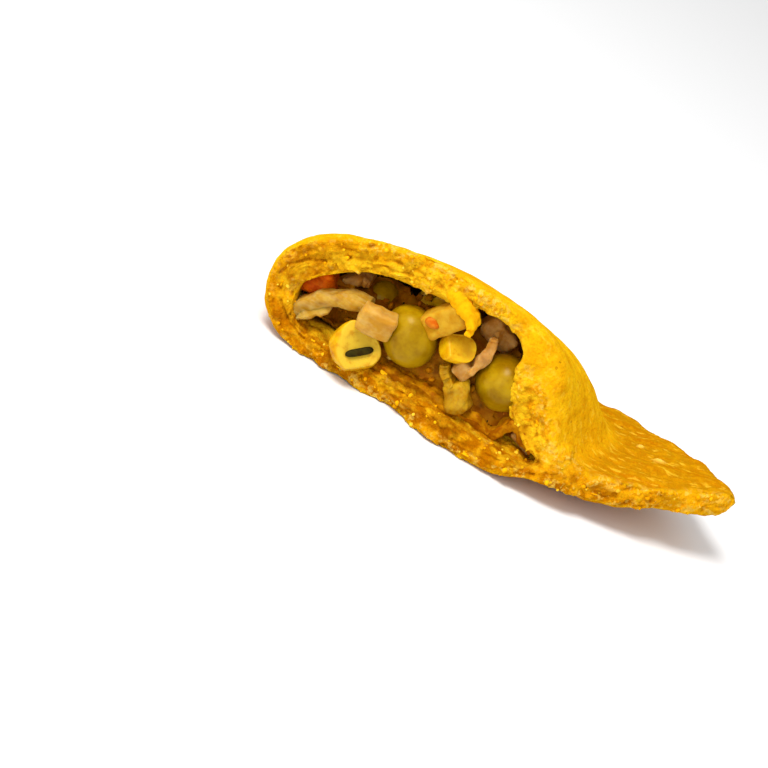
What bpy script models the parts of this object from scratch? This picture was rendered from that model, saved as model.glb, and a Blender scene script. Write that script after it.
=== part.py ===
"""One torn half of a baked vegetable patty: a golden half-moon pastry with its filling showing.

The patty is a disc of pastry folded over its filling. It lies on its flat baked base. Seen from
above it is half a half-moon: the straight fold runs along X = FOLD, the sealed flange runs round
the curved side, and the torn face looks along -Y. All sizes are in millimetres, and MM turns them
into metres. Depth is measured from the torn face, height from the table.

Nodes: "crust", the whole pastry shell with its open mouth, and "filling", the vegetables in it.
"""
import math

import bmesh
import bpy
from mathutils import Euler, Matrix, Vector, noise

MM = 0.001

# Where the fold line and the torn face lie, so that the origin is under the middle of the part
FOLD = -41.1
TEAR = -24.3

# Plan of the patty
RIM_REACH = 84.1            # fold to rim at the tear, which is the patty's middle
RIM_LENGTH = 54.9           # tear to where the rim's curve would meet the fold
RIM_POWER = 2.08            # above 2 the rim is fuller than an ellipse
CORNER_START = 20.8         # the fold runs straight this far, then bends round
CORNER_RADIUS = 34.0
LAST_RING_DEPTH = 52.6
TIP_DEPTH = 52.8

# Dome and flange
DOME_RISE = 18.1            # crest above the flange, at the tear
DOME_END = 50.2             # depth where the dome has sunk to the flange
DOME_FALL = 1.35            # how the dome falls towards the far end
CREST_SHARE = 0.5            # share of the dome's width that the rounded fold takes
CREST_GROWTH = 0.155        # and more of it further in
NOSE_HEIGHT_SHARE = 0.40    # height of the fold's outermost line, as a share of the crest
BASE_NOSE_SHARE = 0.90      # how far the fold's underside reaches in, as a share of that height
SHOULDER_POWER = 9.0
SHOULDER_POWER_DROP = 0.5   # the shoulder is rounder at the tear
SHOULDER_DROP_DEPTH = 10.0
SHOULDER_FILLET = 1.2
FLANGE_TEAR_WIDTH = 28.3
FLANGE_FAR_WIDTH = 11.6
FLANGE_WIDTH_DEPTH = 20.2
FLANGE_WIDTH_POWER = 1.8
FLANGE_SHARE_LIMIT = 0.45
FLANGE_LEVEL = 2.9
FLANGE_LIFT = 4.2           # the flange rides higher near the tear
FLANGE_LIFT_DEPTH = 38.0
UPTURN = 6.6                # the torn corner of the flange curls up
UPTURN_START = 56.3
UPTURN_REACH = 23.0
UPTURN_POWER = 1.2
UPTURN_DEPTH = 110.0
FLANGE_THICK = 4.6
FLANGE_EDGE_THICK = 4.4
UNDERCUT_START = 5.0        # the base leaves the table this far inside the shoulder
UNDERCUT_RUN = 12.0
RIM_ROUND = 1.7
TIP_ROUND = 1.8
RIDGES = 34                 # faint crimping along the flange
RIDGE_HEIGHT = 0.35
LUMP_HEIGHT = 0.55
LUMP_SPACING = 15.0

# Torn edge
FLARE_HEIGHT = 0.5          # the torn roof is lifted a little
FLARE_MIDDLE = 19.0
FLARE_HALF_WIDTH = 15.0
FLARE_DEPTH = 3.5
FLANGE_TEAR_START = 60.0
FLANGE_TEAR_RUN = 23.0
FLANGE_TEAR_DEPTH = 11.0
FLANGE_TEAR_POWER = 1.2
LIP_SHORT = 1.0             # the lower crust sticks out a little past the roof
LIP_LONG = 2.6
LIP_CURL = 3.8              # and its front edge is lifted off the table
LIP_CURL_START = 42.0
LIP_CURL_RUN = 14.0
LIP_CURL_DEPTH = 12.0
LIP_FLOOR_SHARE = 0.5       # share of that lift inside the mouth
LIP_START = 28.0
LIP_END = 54.0
LIP_BLEND = 7.0
LIP_TOP = 4.5
LIP_FADE = 3.5
RAGGED = 1.0
CRUMB_RELIEF = 1.1
CRUMB_LAYER = 1.1           # spacing of the flaky layers in the torn face

# Hollow
ROOF_THICK = 5.2
ROOF_THIN = 2.3
ROOF_THIN_START = 24.0
ROOF_THIN_RUN = 12.0
ROOF_THINNING = 0.3
FOLD_THICK = 5.3
FLOOR_THICK = 3.4
FLOOR_SWELL = 0.9
WALL_INSET = 10.7           # steep inner wall, inside the shoulder's foot
WALL_RUN = 4.5
SLIT_REACH = 11.0           # gap between roof and base at the torn seam
SLIT_DEPTH = 7.0
SLIT_LEVEL = 5.0
SLIT_SLOPE = 0.14
HOLLOW_NOSE_TOP = 12.0
HOLLOW_NOSE_BASE = 4.5
HOLLOW_NOSE_SHARE = 0.40
HOLLOW_END = 39.0
HOLLOW_END_ROUND = 4
HOLLOW_BACK_CLEARANCE = 7.0  # the clearance counts this many times over at the rounded back
HOLLOW_LEAST_WIDTH = 0.25
HOLLOW_EDGE_ROUND = 0.8
BACK_CAP = 1.2
MOUTH_FRONT = -12.0         # the cutter starts this far in front of the tear
ROOF_UNEVEN = 0.6

# Filling
CLEARANCE = 0.35            # pieces to pastry
CORE_CLEARANCE = 0.80       # packed core to pastry
CORE_FRONT = 1.2
CORE_LEAN = 0.42            # the filling lies back towards its top
CORE_GAP = 4.2              # air between filling and roof, near the mouth
CORE_GAP_DEPTH = 26.0
CORE_MIDDLE = 25.0          # across, where the gap is measured
CORE_LUMP = 0.9
HOLLOW_SPOT = (11.5, 7.0)   # where a piece has dropped out, across and up
HOLLOW_SPOT_DEPTH = 5.0
HOLLOW_SPOT_RADIUS = 4.0

# Pieces in the mouth: places are (across, depth, height)
KERNEL_ROOT = 0.62
KERNEL_SWELL = 1.28         # subdivision shrinks the cage by about this
CHUNK_EDGE = 0.16           # share of the block
STRIP_STEPS = 12
ONION_ARCH = ((6.6, 3.0, 4.2), (7.4, 3.0, 8.6), (10.8, 3.2, 12.0), (15.2, 3.4, 13.2), (20.0, 3.6, 12.4))
ONION_BACK = ((10.0, 9.0, 12.2), (12.6, 9.4, 13.6), (15.4, 9.8, 14.2))
ONION_RIGHT = ((36.4, 3.4, 17.4), (37.2, 3.4, 14.6), (36.4, 3.0, 11.6))

# Finish
CRUST_COLOUR = (0.75, 0.40, 0.04)
CRUST_ROUGHNESS = 0.55
FILLING_COLOUR = (0.45, 0.28, 0.04)
FILLING_ROUGHNESS = 0.40

# Mesh density
NOSE_STEPS = 8
DOME_STEPS = 16
FLANGE_STEPS = 13
RIM_STEPS = 3
CAP_ROWS = 14
OUTER_RINGS = 20
HOLLOW_NOSE_STEPS = 5
HOLLOW_MIDDLE_STEPS = 9
HOLLOW_WALL_STEPS = 8
HOLLOW_RINGS = 10
CORE_ROWS = 8


def smooth(t):
    """Ease from 0 to 1, flat at both ends."""
    t = min(max(t, 0.0), 1.0)
    return t * t * (3.0 - 2.0 * t)


def quarter(t):
    """Quarter circle from 0 to 1, upright at the start and flat at the end."""
    t = min(max(t, 0.0), 1.0)
    return math.sqrt(1.0 - (1.0 - t) ** 2)


def lumps(x, y, z, spacing, seed):
    """Even noise between about -1 and 1."""
    return noise.noise(Vector((x / spacing, y / spacing, z / spacing + seed)))


def place(x, depth, z):
    """A point of the patty in the part's frame, in metres."""
    return Vector((x + FOLD, depth + TEAR, z)) * MM


def rim_x(depth):
    """Curved side of the half-moon, nearly a part of an ellipse."""
    along = max(depth, 0.0) / RIM_LENGTH
    return RIM_REACH * math.sqrt(max(0.0, 1.0 - along ** RIM_POWER))


def fold_x(depth):
    """Straight fold, with a round far corner."""
    past = max(0.0, depth - CORNER_START)
    return CORNER_RADIUS - math.sqrt(max(0.0, CORNER_RADIUS ** 2 - past * past))


def foot_x(depth):
    """Where the dome meets the flange."""
    fade = math.exp(-(max(depth, 0.0) / FLANGE_WIDTH_DEPTH) ** FLANGE_WIDTH_POWER)
    width = FLANGE_FAR_WIDTH + (FLANGE_TEAR_WIDTH - FLANGE_FAR_WIDTH) * fade
    whole = rim_x(depth) - fold_x(depth)
    return rim_x(depth) - min(width, FLANGE_SHARE_LIMIT * whole)


def flange_level(x, depth):
    """Top of the flange, which curls up at the torn corner."""
    near = max(depth, 0.0)
    level = FLANGE_LEVEL + FLANGE_LIFT * math.exp(-near / FLANGE_LIFT_DEPTH)
    out = max(0.0, (x - UPTURN_START) / UPTURN_REACH)
    return level + UPTURN * out ** UPTURN_POWER * math.exp(-(near / UPTURN_DEPTH) ** 2)


def dome_z(x, depth):
    """Plain top of the crust: round fold, dome, shoulder and flange."""
    near = min(max(depth, 0.0), TIP_DEPTH)
    across = x - fold_x(near)
    width = foot_x(near) - fold_x(near)
    power = SHOULDER_POWER - SHOULDER_POWER_DROP * math.exp(-near / SHOULDER_DROP_DEPTH)
    crown = max(0.0, 1.0 - min(across / width, 1.0) ** power) ** SHOULDER_FILLET
    level = flange_level(x, near)
    nose = nose_z(near)
    return nose + (level + dome_rise(near) * crown - nose) * quarter(across / nose_run(near))


def dome_rise(depth):
    """Crest above the flange."""
    return DOME_RISE * max(0.0, 1.0 - (max(depth, 0.0) / DOME_END) ** DOME_FALL)


def nose_run(depth):
    """Fold to crest, across."""
    share = CREST_SHARE + CREST_GROWTH * (1.0 - math.exp(-max(depth, 0.0) / SHOULDER_DROP_DEPTH))
    return share * (foot_x(depth) - fold_x(depth))


def nose_z(depth):
    """Height of the fold's outermost line."""
    near = min(max(depth, 0.0), TIP_DEPTH)
    return NOSE_HEIGHT_SHARE * (flange_level(0.0, near) + dome_rise(near))


def base_z(x, depth):
    """Underside: round fold, flat base, then up under the flange."""
    near = min(max(depth, 0.0), TIP_DEPTH)
    nose = nose_z(near)
    across = x - fold_x(near)
    under_nose = nose * (1.0 - quarter(across / (BASE_NOSE_SHARE * nose)))
    foot = foot_x(near)
    out = min(max((x - foot) / (rim_x(near) - foot), 0.0), 1.0)
    thick = FLANGE_THICK + (FLANGE_EDGE_THICK - FLANGE_THICK) * out
    lift = smooth((x - foot + UNDERCUT_START) / UNDERCUT_RUN)
    return under_nose + max(lip_curl(x, depth), lift * max(0.0, flange_level(x, near) - thick))


def lip_curl(x, depth):
    """Lift of the lower lip's front edge."""
    across = smooth((x - LIP_CURL_START) / LIP_CURL_RUN)
    return LIP_CURL * across * smooth(1.0 - (depth + LIP_LONG) / LIP_CURL_DEPTH)


def surface_z(x, depth, top):
    """Top or underside with its lumps, ridges, torn flare and round edges."""
    upper = dome_z(x, depth)
    lower = base_z(x, depth)
    on_flange = smooth((x - foot_x(depth)) / 6.0)
    angle = math.atan2(depth, x)
    ridge = RIDGE_HEIGHT * math.sin(RIDGES * 2.0 * angle) * on_flange
    body = quarter((x - fold_x(depth)) / 12.0)
    upper += body * LUMP_HEIGHT * lumps(x, depth, 0.0, LUMP_SPACING, 3.0) + ridge
    lift = 1.0 - smooth(abs(x - FLARE_MIDDLE) / FLARE_HALF_WIDTH)
    upper += FLARE_HEIGHT * lift * math.exp(-(max(depth, 0.0) / FLARE_DEPTH) ** 2)
    edge = 1.0 - quarter_fall((x - rim_x(depth) + RIM_ROUND) / RIM_ROUND)
    tip = 1.0 - quarter_fall((depth - LAST_RING_DEPTH + TIP_ROUND) / TIP_ROUND) * 0.7
    middle = (upper + lower) / 2.0
    half = (upper - lower) / 2.0 * edge * tip
    return middle + half if top else middle - half


def quarter_fall(t):
    """From 0 to 1, flat at the start and upright at the end."""
    t = min(max(t, 0.0), 1.0)
    return 1.0 - math.sqrt(1.0 - t * t)


def outer_x(step, depth, top):
    """Crosswise place of one point of an outer section."""
    fold = fold_x(depth)
    rim = rim_x(depth)
    foot = foot_x(depth)
    run = nose_run(depth)
    if not top:
        run = min(run, BASE_NOSE_SHARE * nose_z(depth))
    edge = min(RIM_ROUND, 0.4 * (rim - foot))
    if step <= NOSE_STEPS:
        return fold + run * (1.0 - math.cos(math.pi / 2.0 * step / NOSE_STEPS))
    step -= NOSE_STEPS
    if step <= DOME_STEPS:
        return fold + run + (foot - fold - run) * step / DOME_STEPS
    step -= DOME_STEPS
    if step <= FLANGE_STEPS:
        return foot + (rim - edge - foot) * step / FLANGE_STEPS
    step -= FLANGE_STEPS
    return rim - edge + edge * math.sin(math.pi / 2.0 * step / RIM_STEPS)


def tear_depth(x, z):
    """Ragged line of the tear, with the lower lip in front and the flange torn back."""
    out = max(0.0, (x - FLANGE_TEAR_START) / FLANGE_TEAR_RUN)
    torn_back = FLANGE_TEAR_DEPTH * out ** FLANGE_TEAR_POWER
    reach = LIP_SHORT * smooth((x - 4.0) / 6.0)
    reach += LIP_LONG * smooth((x - LIP_START) / LIP_BLEND)
    reach *= 1.0 - smooth((x - LIP_END) / LIP_BLEND)
    low = 1.0 - smooth((z - LIP_TOP) / LIP_FADE)
    ragged = RAGGED * lumps(x, 0.0, z, 4.5, 11.0)
    crumb = CRUMB_RELIEF * noise.noise(Vector((x / 4.0, z / CRUMB_LAYER, 5.0)))
    return torn_back - reach * low + ragged + crumb


def outer_ring(depth):
    """One closed section of the outside: the top from fold to rim, then back underneath."""
    steps = NOSE_STEPS + DOME_STEPS + FLANGE_STEPS + RIM_STEPS
    ring = []
    for top in (True, False):
        order = range(steps + 1) if top else range(steps - 1, 0, -1)
        for step in order:
            x_tear = outer_x(step, 0.0, top)
            start = tear_depth(x_tear, surface_z(x_tear, 0.0, top))
            at = start * (1.0 - depth / LAST_RING_DEPTH) + depth
            x = outer_x(step, at, top)
            ring.append(place(x, at, surface_z(x, at, top)))
    return ring


def hollow_roof(x, depth, inset):
    """Roof of the hollow, which drops steeply at its inner wall."""
    near = min(max(depth, 0.0), HOLLOW_END)
    across = x - fold_x(near)
    thin = smooth((across - ROOF_THIN_START) / ROOF_THIN_RUN)
    thick = ROOF_THICK + (ROOF_THIN - ROOF_THICK) * thin
    thick *= 1.0 - ROOF_THINNING * near / HOLLOW_END
    under = dome_z(x, near) - thick - inset
    wall = foot_x(near) - WALL_INSET - inset
    upright = smooth((wall - x) / WALL_RUN + 0.5)
    slit = SLIT_LEVEL - inset + SLIT_SLOPE * max(0.0, hollow_far_x(near, inset) - x)
    return slit + (under - slit) * upright


def hollow_near_x(depth, inset):
    """Side of the hollow behind the fold."""
    return fold_x(depth) + FOLD_THICK + inset


def hollow_far_x(depth, inset):
    """Far side of the hollow, with the slit at the torn seam."""
    near = max(depth, 0.0)
    slit = SLIT_REACH * math.exp(-(near / SLIT_DEPTH) ** 2)
    return foot_x(near) - WALL_INSET + WALL_RUN / 2.0 + slit - inset


def hollow_z(x, depth, top, inset):
    """Roof or floor of the hollow, closed round at the fold, the far side and the end."""
    near = min(max(depth, 0.0), HOLLOW_END)
    across = x - hollow_near_x(near, inset)
    floor = FLOOR_THICK + inset + FLOOR_SWELL * math.sin(math.pi * min(across / 50.0, 1.0)) ** 2
    floor += LIP_FLOOR_SHARE * lip_curl(x, depth)
    roof = hollow_roof(x, near, inset)
    roof = max(roof + ROOF_UNEVEN * lumps(x, depth, 0.0, 6.0, 21.0), floor + 0.15)
    reference = hollow_roof(hollow_near_x(near, inset) + HOLLOW_NOSE_TOP, near, inset)
    nose = floor + HOLLOW_NOSE_SHARE * (reference - floor)
    upper = nose + (roof - nose) * quarter(across / HOLLOW_NOSE_TOP)
    lower = nose + (floor - nose) * quarter(across / HOLLOW_NOSE_BASE)
    edge = 1.0 - quarter_fall((x - hollow_far_x(near, inset)) / HOLLOW_EDGE_ROUND + 1.0)
    middle = (upper + lower) / 2.0
    half = max(upper - lower, 0.2) / 2.0 * edge * back_round(near, inset)
    return middle + half if top else middle - half


def hollow_back(inset):
    """Depth where the hollow ends."""
    return HOLLOW_END - HOLLOW_BACK_CLEARANCE * inset


def back_round(depth, inset):
    """Share of the hollow's full section that is left, towards its rounded back."""
    along = min(max(depth, 0.0) / hollow_back(inset), 1.0)
    return math.sqrt(1.0 - along ** HOLLOW_END_ROUND)


def hollow_x(step, depth, top, inset):
    """Crosswise place of one point of a section through the hollow."""
    near_side = hollow_near_x(depth, inset)
    far_side = hollow_far_x(depth, inset)
    wall = foot_x(depth) - WALL_INSET - inset - WALL_RUN / 2.0
    run = HOLLOW_NOSE_TOP if top else HOLLOW_NOSE_BASE
    if step <= HOLLOW_NOSE_STEPS:
        x = near_side + run * (1.0 - math.cos(math.pi / 2.0 * step / HOLLOW_NOSE_STEPS))
    elif step <= HOLLOW_NOSE_STEPS + HOLLOW_MIDDLE_STEPS:
        share = (step - HOLLOW_NOSE_STEPS) / HOLLOW_MIDDLE_STEPS
        x = near_side + run + (wall - near_side - run) * share
    else:
        share = (step - HOLLOW_NOSE_STEPS - HOLLOW_MIDDLE_STEPS) / HOLLOW_WALL_STEPS
        x = wall + (far_side - wall) * math.sin(math.pi / 2.0 * share)
    centre = (near_side + far_side) / 2.0
    return x, centre + (x - centre) * max(back_round(depth, inset), HOLLOW_LEAST_WIDTH)


def hollow_ring(depth, inset, start=None, drop=0.0):
    """One closed section through the hollow, or through the filling that lies in it."""
    steps = HOLLOW_NOSE_STEPS + HOLLOW_MIDDLE_STEPS + HOLLOW_WALL_STEPS
    ring = []
    for top in (True, False):
        order = range(steps + 1) if top else range(steps - 1, 0, -1)
        for step in order:
            x, _ = hollow_x(step, depth, top, inset)
            x_drawn = hollow_x(step, depth, top, inset)[1]
            z = hollow_z(x, depth, top, inset)
            floor = hollow_z(x, depth, False, inset)
            z = floor + (z - floor) * (1.0 - drop)
            at = depth if start is None else start(x_drawn, z, depth)
            ring.append(place(x_drawn, at, z))
    return ring


def lofted(name, rings, tip, rows, relief):
    """A closed solid from sections, with a gridded front face and a pointed far end.

    Each ring holds its top points, then its underside points in reverse. relief gives the depth of
    a point inside the front face.
    """
    mesh = bmesh.new()
    drawn = [[mesh.verts.new(point) for point in ring] for ring in rings]
    count = len(drawn[0])
    half = count // 2
    for near, far in zip(drawn, drawn[1:]):
        for at in range(count):
            after = (at + 1) % count
            mesh.faces.new((near[at], near[after], far[after], far[at]))
    pole = mesh.verts.new(tip)
    for at in range(count):
        mesh.faces.new((drawn[-1][at], drawn[-1][(at + 1) % count], pole))
    front = drawn[0]
    columns = []
    for step in range(1, half):
        upper = front[step]
        lower = front[count - step]
        column = [upper]
        for row in range(1, rows):
            share = 0.5 - 0.5 * math.cos(math.pi * row / rows)
            point = upper.co.lerp(lower.co, share)
            point.y = relief(point, upper.co.y, lower.co.y, share)
            column.append(mesh.verts.new(point))
        column.append(lower)
        columns.append(column)
    for left, right in zip(columns, columns[1:]):
        for row in range(rows):
            mesh.faces.new((left[row], right[row], right[row + 1], left[row + 1]))
    for end, column in ((front[0], columns[0]), (front[half], columns[-1])):
        for row in range(rows):
            mesh.faces.new((end, column[row], column[row + 1]))
    bmesh.ops.recalc_face_normals(mesh, faces=mesh.faces[:])
    data = bpy.data.meshes.new(name)
    mesh.to_mesh(data)
    mesh.free()
    return bpy.data.objects.new(name, data)


def torn_relief(point, upper_y, lower_y, share):
    """Depth of a point in the torn face, in metres."""
    x = point.x / MM - FOLD
    z = point.z / MM
    return (tear_depth(x, z) + TEAR) * MM


def level_relief(point, upper_y, lower_y, share):
    """A flat front face, for a cutter."""
    return upper_y + (lower_y - upper_y) * share


def outer_solid(name):
    """The patty's outside as one solid, closed at the tear."""
    depths = [LAST_RING_DEPTH * math.sin(math.pi / 2.0 * at / OUTER_RINGS) for at in range(OUTER_RINGS + 1)]
    rings = [outer_ring(depth) for depth in depths]
    tip_x = (fold_x(LAST_RING_DEPTH) + rim_x(LAST_RING_DEPTH)) / 2.0
    tip_z = (surface_z(tip_x, LAST_RING_DEPTH, True) + surface_z(tip_x, LAST_RING_DEPTH, False)) / 2.0
    return lofted(name, rings, place(tip_x, TIP_DEPTH, tip_z), CAP_ROWS, torn_relief)


def hollow_depths(start, end):
    """Depths of the sections through the hollow, closer together at its far end."""
    spread = end - start
    return [start + spread * math.sin(math.pi / 2.0 * at / HOLLOW_RINGS) for at in range(HOLLOW_RINGS + 1)]


def hollow_tip(inset):
    """Depth of the last section through the hollow, and the point that closes it."""
    last = hollow_back(inset) - BACK_CAP
    centre = (hollow_near_x(last, inset) + hollow_far_x(last, inset)) / 2.0
    middle = (hollow_z(centre, last, True, inset) + hollow_z(centre, last, False, inset)) / 2.0
    return last, place(centre, last + BACK_CAP / 2.0, middle)


def hollow_solid(name, inset):
    """The hollow as one solid, drawn out in front of the mouth."""
    last, tip = hollow_tip(inset)
    rings = [hollow_ring(MOUTH_FRONT, inset)]
    rings += [hollow_ring(depth, inset) for depth in hollow_depths(0.0, last)]
    return lofted(name, rings, tip, CORE_ROWS, level_relief)


def core_front(x, z, depth):
    """Front of the packed filling: it leans back, with one spot where a piece has dropped out."""
    lean = CORE_FRONT + CORE_LEAN * max(0.0, z - FLOOR_THICK)
    away = math.hypot(x - HOLLOW_SPOT[0], z - HOLLOW_SPOT[1]) / HOLLOW_SPOT_RADIUS
    spot = HOLLOW_SPOT_DEPTH * math.exp(-away * away)
    front = lean + spot + CORE_LUMP * lumps(x, 0.0, z, 3.2, 31.0)
    return front * (1.0 - depth / HOLLOW_END) + depth


def core_relief(point, upper_y, lower_y, share):
    """Depth of a point in the front of the packed filling, in metres."""
    return (core_front(point.x / MM - FOLD, point.z / MM, 0.0) + TEAR) * MM


def core_solid(name):
    """The packed filling behind the pieces, with air left under the roof near the mouth."""
    inset = CORE_CLEARANCE
    last, tip = hollow_tip(inset)
    rings = []
    for depth in hollow_depths(0.0, last):
        height = hollow_roof(CORE_MIDDLE, depth, inset) - FLOOR_THICK
        gap = CORE_GAP * (1.0 - smooth(depth / CORE_GAP_DEPTH))
        rings.append(hollow_ring(depth, inset, start=core_front, drop=gap / max(height, gap + 1.0)))
    return lofted(name, rings, tip, CORE_ROWS, core_relief)


def settle(piece, where, turn, size, lump=0.0, seed=0.0):
    """Bake a primitive's size, turn and place into its mesh, with a little unevenness."""
    spin = Euler([math.radians(angle) for angle in turn]).to_matrix().to_4x4()
    stretch = Matrix.Diagonal((*size, 1.0))
    for vertex in piece.data.vertices:
        point = vertex.co.normalized() if vertex.co.length > 0.0 else vertex.co
        swell = 1.0 + lump * noise.noise(point * 1.7 + Vector((seed, seed, seed)))
        vertex.co = place(*where) + (spin @ stretch @ (vertex.co * swell)) * MM
    return piece


def ball(name, where, diameter, turn=(0, 0, 0), flat=(1.0, 1.0, 1.0), lump=0.10, seed=0.0):
    """A pea or another round piece with few sides."""
    bpy.ops.mesh.primitive_uv_sphere_add(segments=12, ring_count=8, radius=0.5)
    piece = bpy.context.active_object
    piece.name = name
    size = [diameter * share for share in flat]
    return settle(piece, where, turn, size, lump, seed)


def kernel(name, where, turn, size, seed=0.0):
    """A corn kernel: a rounded wedge, broad at its crown and narrow at its root."""
    bpy.ops.mesh.primitive_cube_add(size=1.0)
    piece = bpy.context.active_object
    piece.name = name
    for vertex in piece.data.vertices:
        if vertex.co.z < 0.0:
            vertex.co.x *= KERNEL_ROOT
            vertex.co.y *= KERNEL_ROOT
    rounded(piece, 2)
    return settle(piece, where, turn, [side * KERNEL_SWELL for side in size], 0.05, seed)


def chunk(name, where, turn, size, seed=0.0):
    """A cut block of onion, potato or carrot with softened edges."""
    bpy.ops.mesh.primitive_cube_add(size=1.0)
    piece = bpy.context.active_object
    piece.name = name
    bevel = piece.modifiers.new("soft edges", "BEVEL")
    bevel.width = CHUNK_EDGE
    bevel.segments = 2
    applied(piece, bevel)
    return settle(piece, where, turn, size, 0.10, seed)


def strip(name, route, width, thick, turn=0.0):
    """A curved slice of onion along a short route of (across, depth, height) points."""
    bpy.ops.mesh.primitive_grid_add(x_subdivisions=STRIP_STEPS, y_subdivisions=2, size=1.0)
    piece = bpy.context.active_object
    piece.name = name
    route = [Vector(point) for point in route]
    lean = math.radians(turn)
    for vertex in piece.data.vertices:
        along = (vertex.co.x + 0.5) * (len(route) - 1)
        leg = min(int(along), len(route) - 2)
        point = route[leg].lerp(route[leg + 1], along - leg)
        side = vertex.co.y * width
        point += Vector((0.0, side * math.cos(lean), side * math.sin(lean)))
        vertex.co = place(*point)
    wall = piece.modifiers.new("thickness", "SOLIDIFY")
    wall.thickness = thick * MM
    wall.offset = 0.0
    applied(piece, wall)
    return piece


def rounded(piece, level):
    """Round a coarse cage by subdivision."""
    soft = piece.modifiers.new("round", "SUBSURF")
    soft.levels = level
    soft.render_levels = level
    applied(piece, soft)


def applied(piece, modifier):
    """Apply one modifier."""
    bpy.context.view_layer.objects.active = piece
    bpy.ops.object.modifier_apply(modifier=modifier.name)


def filling_pieces():
    """The pieces that show in the mouth, each as (across, depth, height) from fold, tear and table."""
    return [
        ball("pea front", (23.8, 2.4, 10.6), 9.4, (10, 20, 0), (0.90, 1.0, 1.05), 0.14, 1.0),
        ball("pea right", (40.6, 4.6, 11.8), 9.3, (0, 30, 10), (0.97, 1.0, 0.97), 0.12, 2.0),
        ball("pea back", (16.6, 10.5, 11.4), 8.8, (30, 0, 0), (1.0, 1.0, 0.97), 0.12, 3.0),
        ball("pea deep", (45.0, 8.0, 6.6), 7.0, (0, 0, 0), (1.1, 1.0, 0.8), 0.12, 4.0),
        ball("cabbage upper", (32.2, 1.9, 9.4), 5.8, (0, -25, 0), (0.62, 1.1, 1.0), 0.30, 5.0),
        ball("cabbage lower", (35.6, 1.0, 7.2), 6.0, (0, 35, 0), (0.80, 1.1, 1.0), 0.35, 6.0),
        ball("carrot bit", (7.9, 7.5, 11.0), 6.2, (0, 40, 0), (1.0, 1.2, 0.80), 0.20, 7.0),
        ball("mash right", (39.5, 5.5, 6.6), 8.5, (0, 15, 0), (1.2, 0.9, 0.55), 0.30, 8.0),
        ball("mash middle", (29.0, 4.0, 8.4), 8.0, (0, 0, 0), (1.0, 0.9, 0.9), 0.30, 9.0),
        kernel("corn left", (16.6, 1.6, 6.0), (72, 0, -12), (10.4, 8.0, 9.0), 1.0),
        kernel("corn right", (31.4, 2.6, 13.1), (65, -20, 25), (7.2, 5.6, 8.0), 2.0),
        chunk("onion block", (19.4, 2.4, 13.0), (4, 28, 8), (5.2, 8.0, 4.2), 1.0),
        chunk("potato chunk", (27.0, 3.0, 16.2), (0, -24, -6), (8.6, 8.0, 3.6), 2.0),
        chunk("onion small", (34.0, 3.2, 11.4), (0, 20, 10), (3.4, 5.0, 2.6), 3.0),
        chunk("onion edge", (47.2, 5.4, 5.5), (0, 25, 0), (4.6, 5.0, 1.6), 4.0),
        strip("onion arch", ONION_ARCH, 7.0, 1.5, 10.0),
        strip("onion back", ONION_BACK, 6.0, 1.4, 15.0),
        strip("onion right", ONION_RIGHT, 5.0, 1.6, 0.0),
    ]


def combined(target, other, operation, solver="EXACT"):
    """Apply one Boolean with an object or a collection."""
    step = target.modifiers.new("join", "BOOLEAN")
    step.operation = operation
    step.solver = solver
    if isinstance(other, bpy.types.Collection):
        step.operand_type = "COLLECTION"
        step.collection = other
    else:
        step.object = other
    applied(target, step)


def linked(collection, piece):
    """Put an object into one collection only."""
    for old in list(piece.users_collection):
        old.objects.unlink(piece)
    collection.objects.link(piece)
    return piece


def removed(piece):
    """Remove an object and its mesh."""
    mesh = piece.data
    bpy.data.objects.remove(piece)
    bpy.data.meshes.remove(mesh)


def drop_scraps(piece):
    """Keep only the largest body of a mesh."""
    mesh = bmesh.new()
    mesh.from_mesh(piece.data)
    left = set(mesh.faces)
    bodies = []
    while left:
        body = set()
        waiting = [next(iter(left))]
        while waiting:
            face = waiting.pop()
            if face in body:
                continue
            body.add(face)
            waiting += [other for edge in face.edges for other in edge.link_faces]
        left -= body
        bodies.append(body)
    largest = max(bodies, key=len)
    scraps = [face for face in mesh.faces if face not in largest]
    bmesh.ops.delete(mesh, geom=scraps, context="FACES")
    bmesh.ops.triangulate(mesh, faces=mesh.faces[:])
    mesh.to_mesh(piece.data)
    mesh.free()


def finish(name, colour, roughness):
    """A plain material."""
    material = bpy.data.materials.new(name)
    material.use_nodes = True
    shader = material.node_tree.nodes["Principled BSDF"]
    shader.inputs["Base Color"].default_value = (*colour, 1.0)
    shader.inputs["Roughness"].default_value = roughness
    shader.inputs["Metallic"].default_value = 0.0
    return material


def dressed(piece, material):
    """Give a whole piece one material."""
    piece.data.materials.clear()
    piece.data.materials.append(material)
    for face in piece.data.polygons:
        face.material_index = 0


def build_crust(collection, cutters):
    """The pastry: the outside with the hollow cut out of it through the torn face."""
    crust = linked(collection, outer_solid("crust"))
    cutter = linked(cutters, hollow_solid("hollow", 0.0))
    combined(crust, cutter, "DIFFERENCE")
    removed(cutter)
    drop_scraps(crust)
    dressed(crust, finish("golden pastry", CRUST_COLOUR, CRUST_ROUGHNESS))
    return crust


def build_filling(collection, cutters):
    """The packed vegetables, with the pieces that show fused on, kept clear of the pastry."""
    filling = linked(collection, core_solid("filling"))
    pieces = bpy.data.collections.new("pieces")
    bpy.context.scene.collection.children.link(pieces)
    for piece in filling_pieces():
        linked(pieces, piece)
    combined(filling, pieces, "UNION", "MANIFOLD")
    for piece in list(pieces.objects):
        removed(piece)
    bpy.data.collections.remove(pieces)
    keep = linked(cutters, hollow_solid("room for the filling", CLEARANCE))
    combined(filling, keep, "INTERSECT", "MANIFOLD")
    removed(keep)
    drop_scraps(filling)
    dressed(filling, finish("vegetables", FILLING_COLOUR, FILLING_ROUGHNESS))
    return filling


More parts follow.
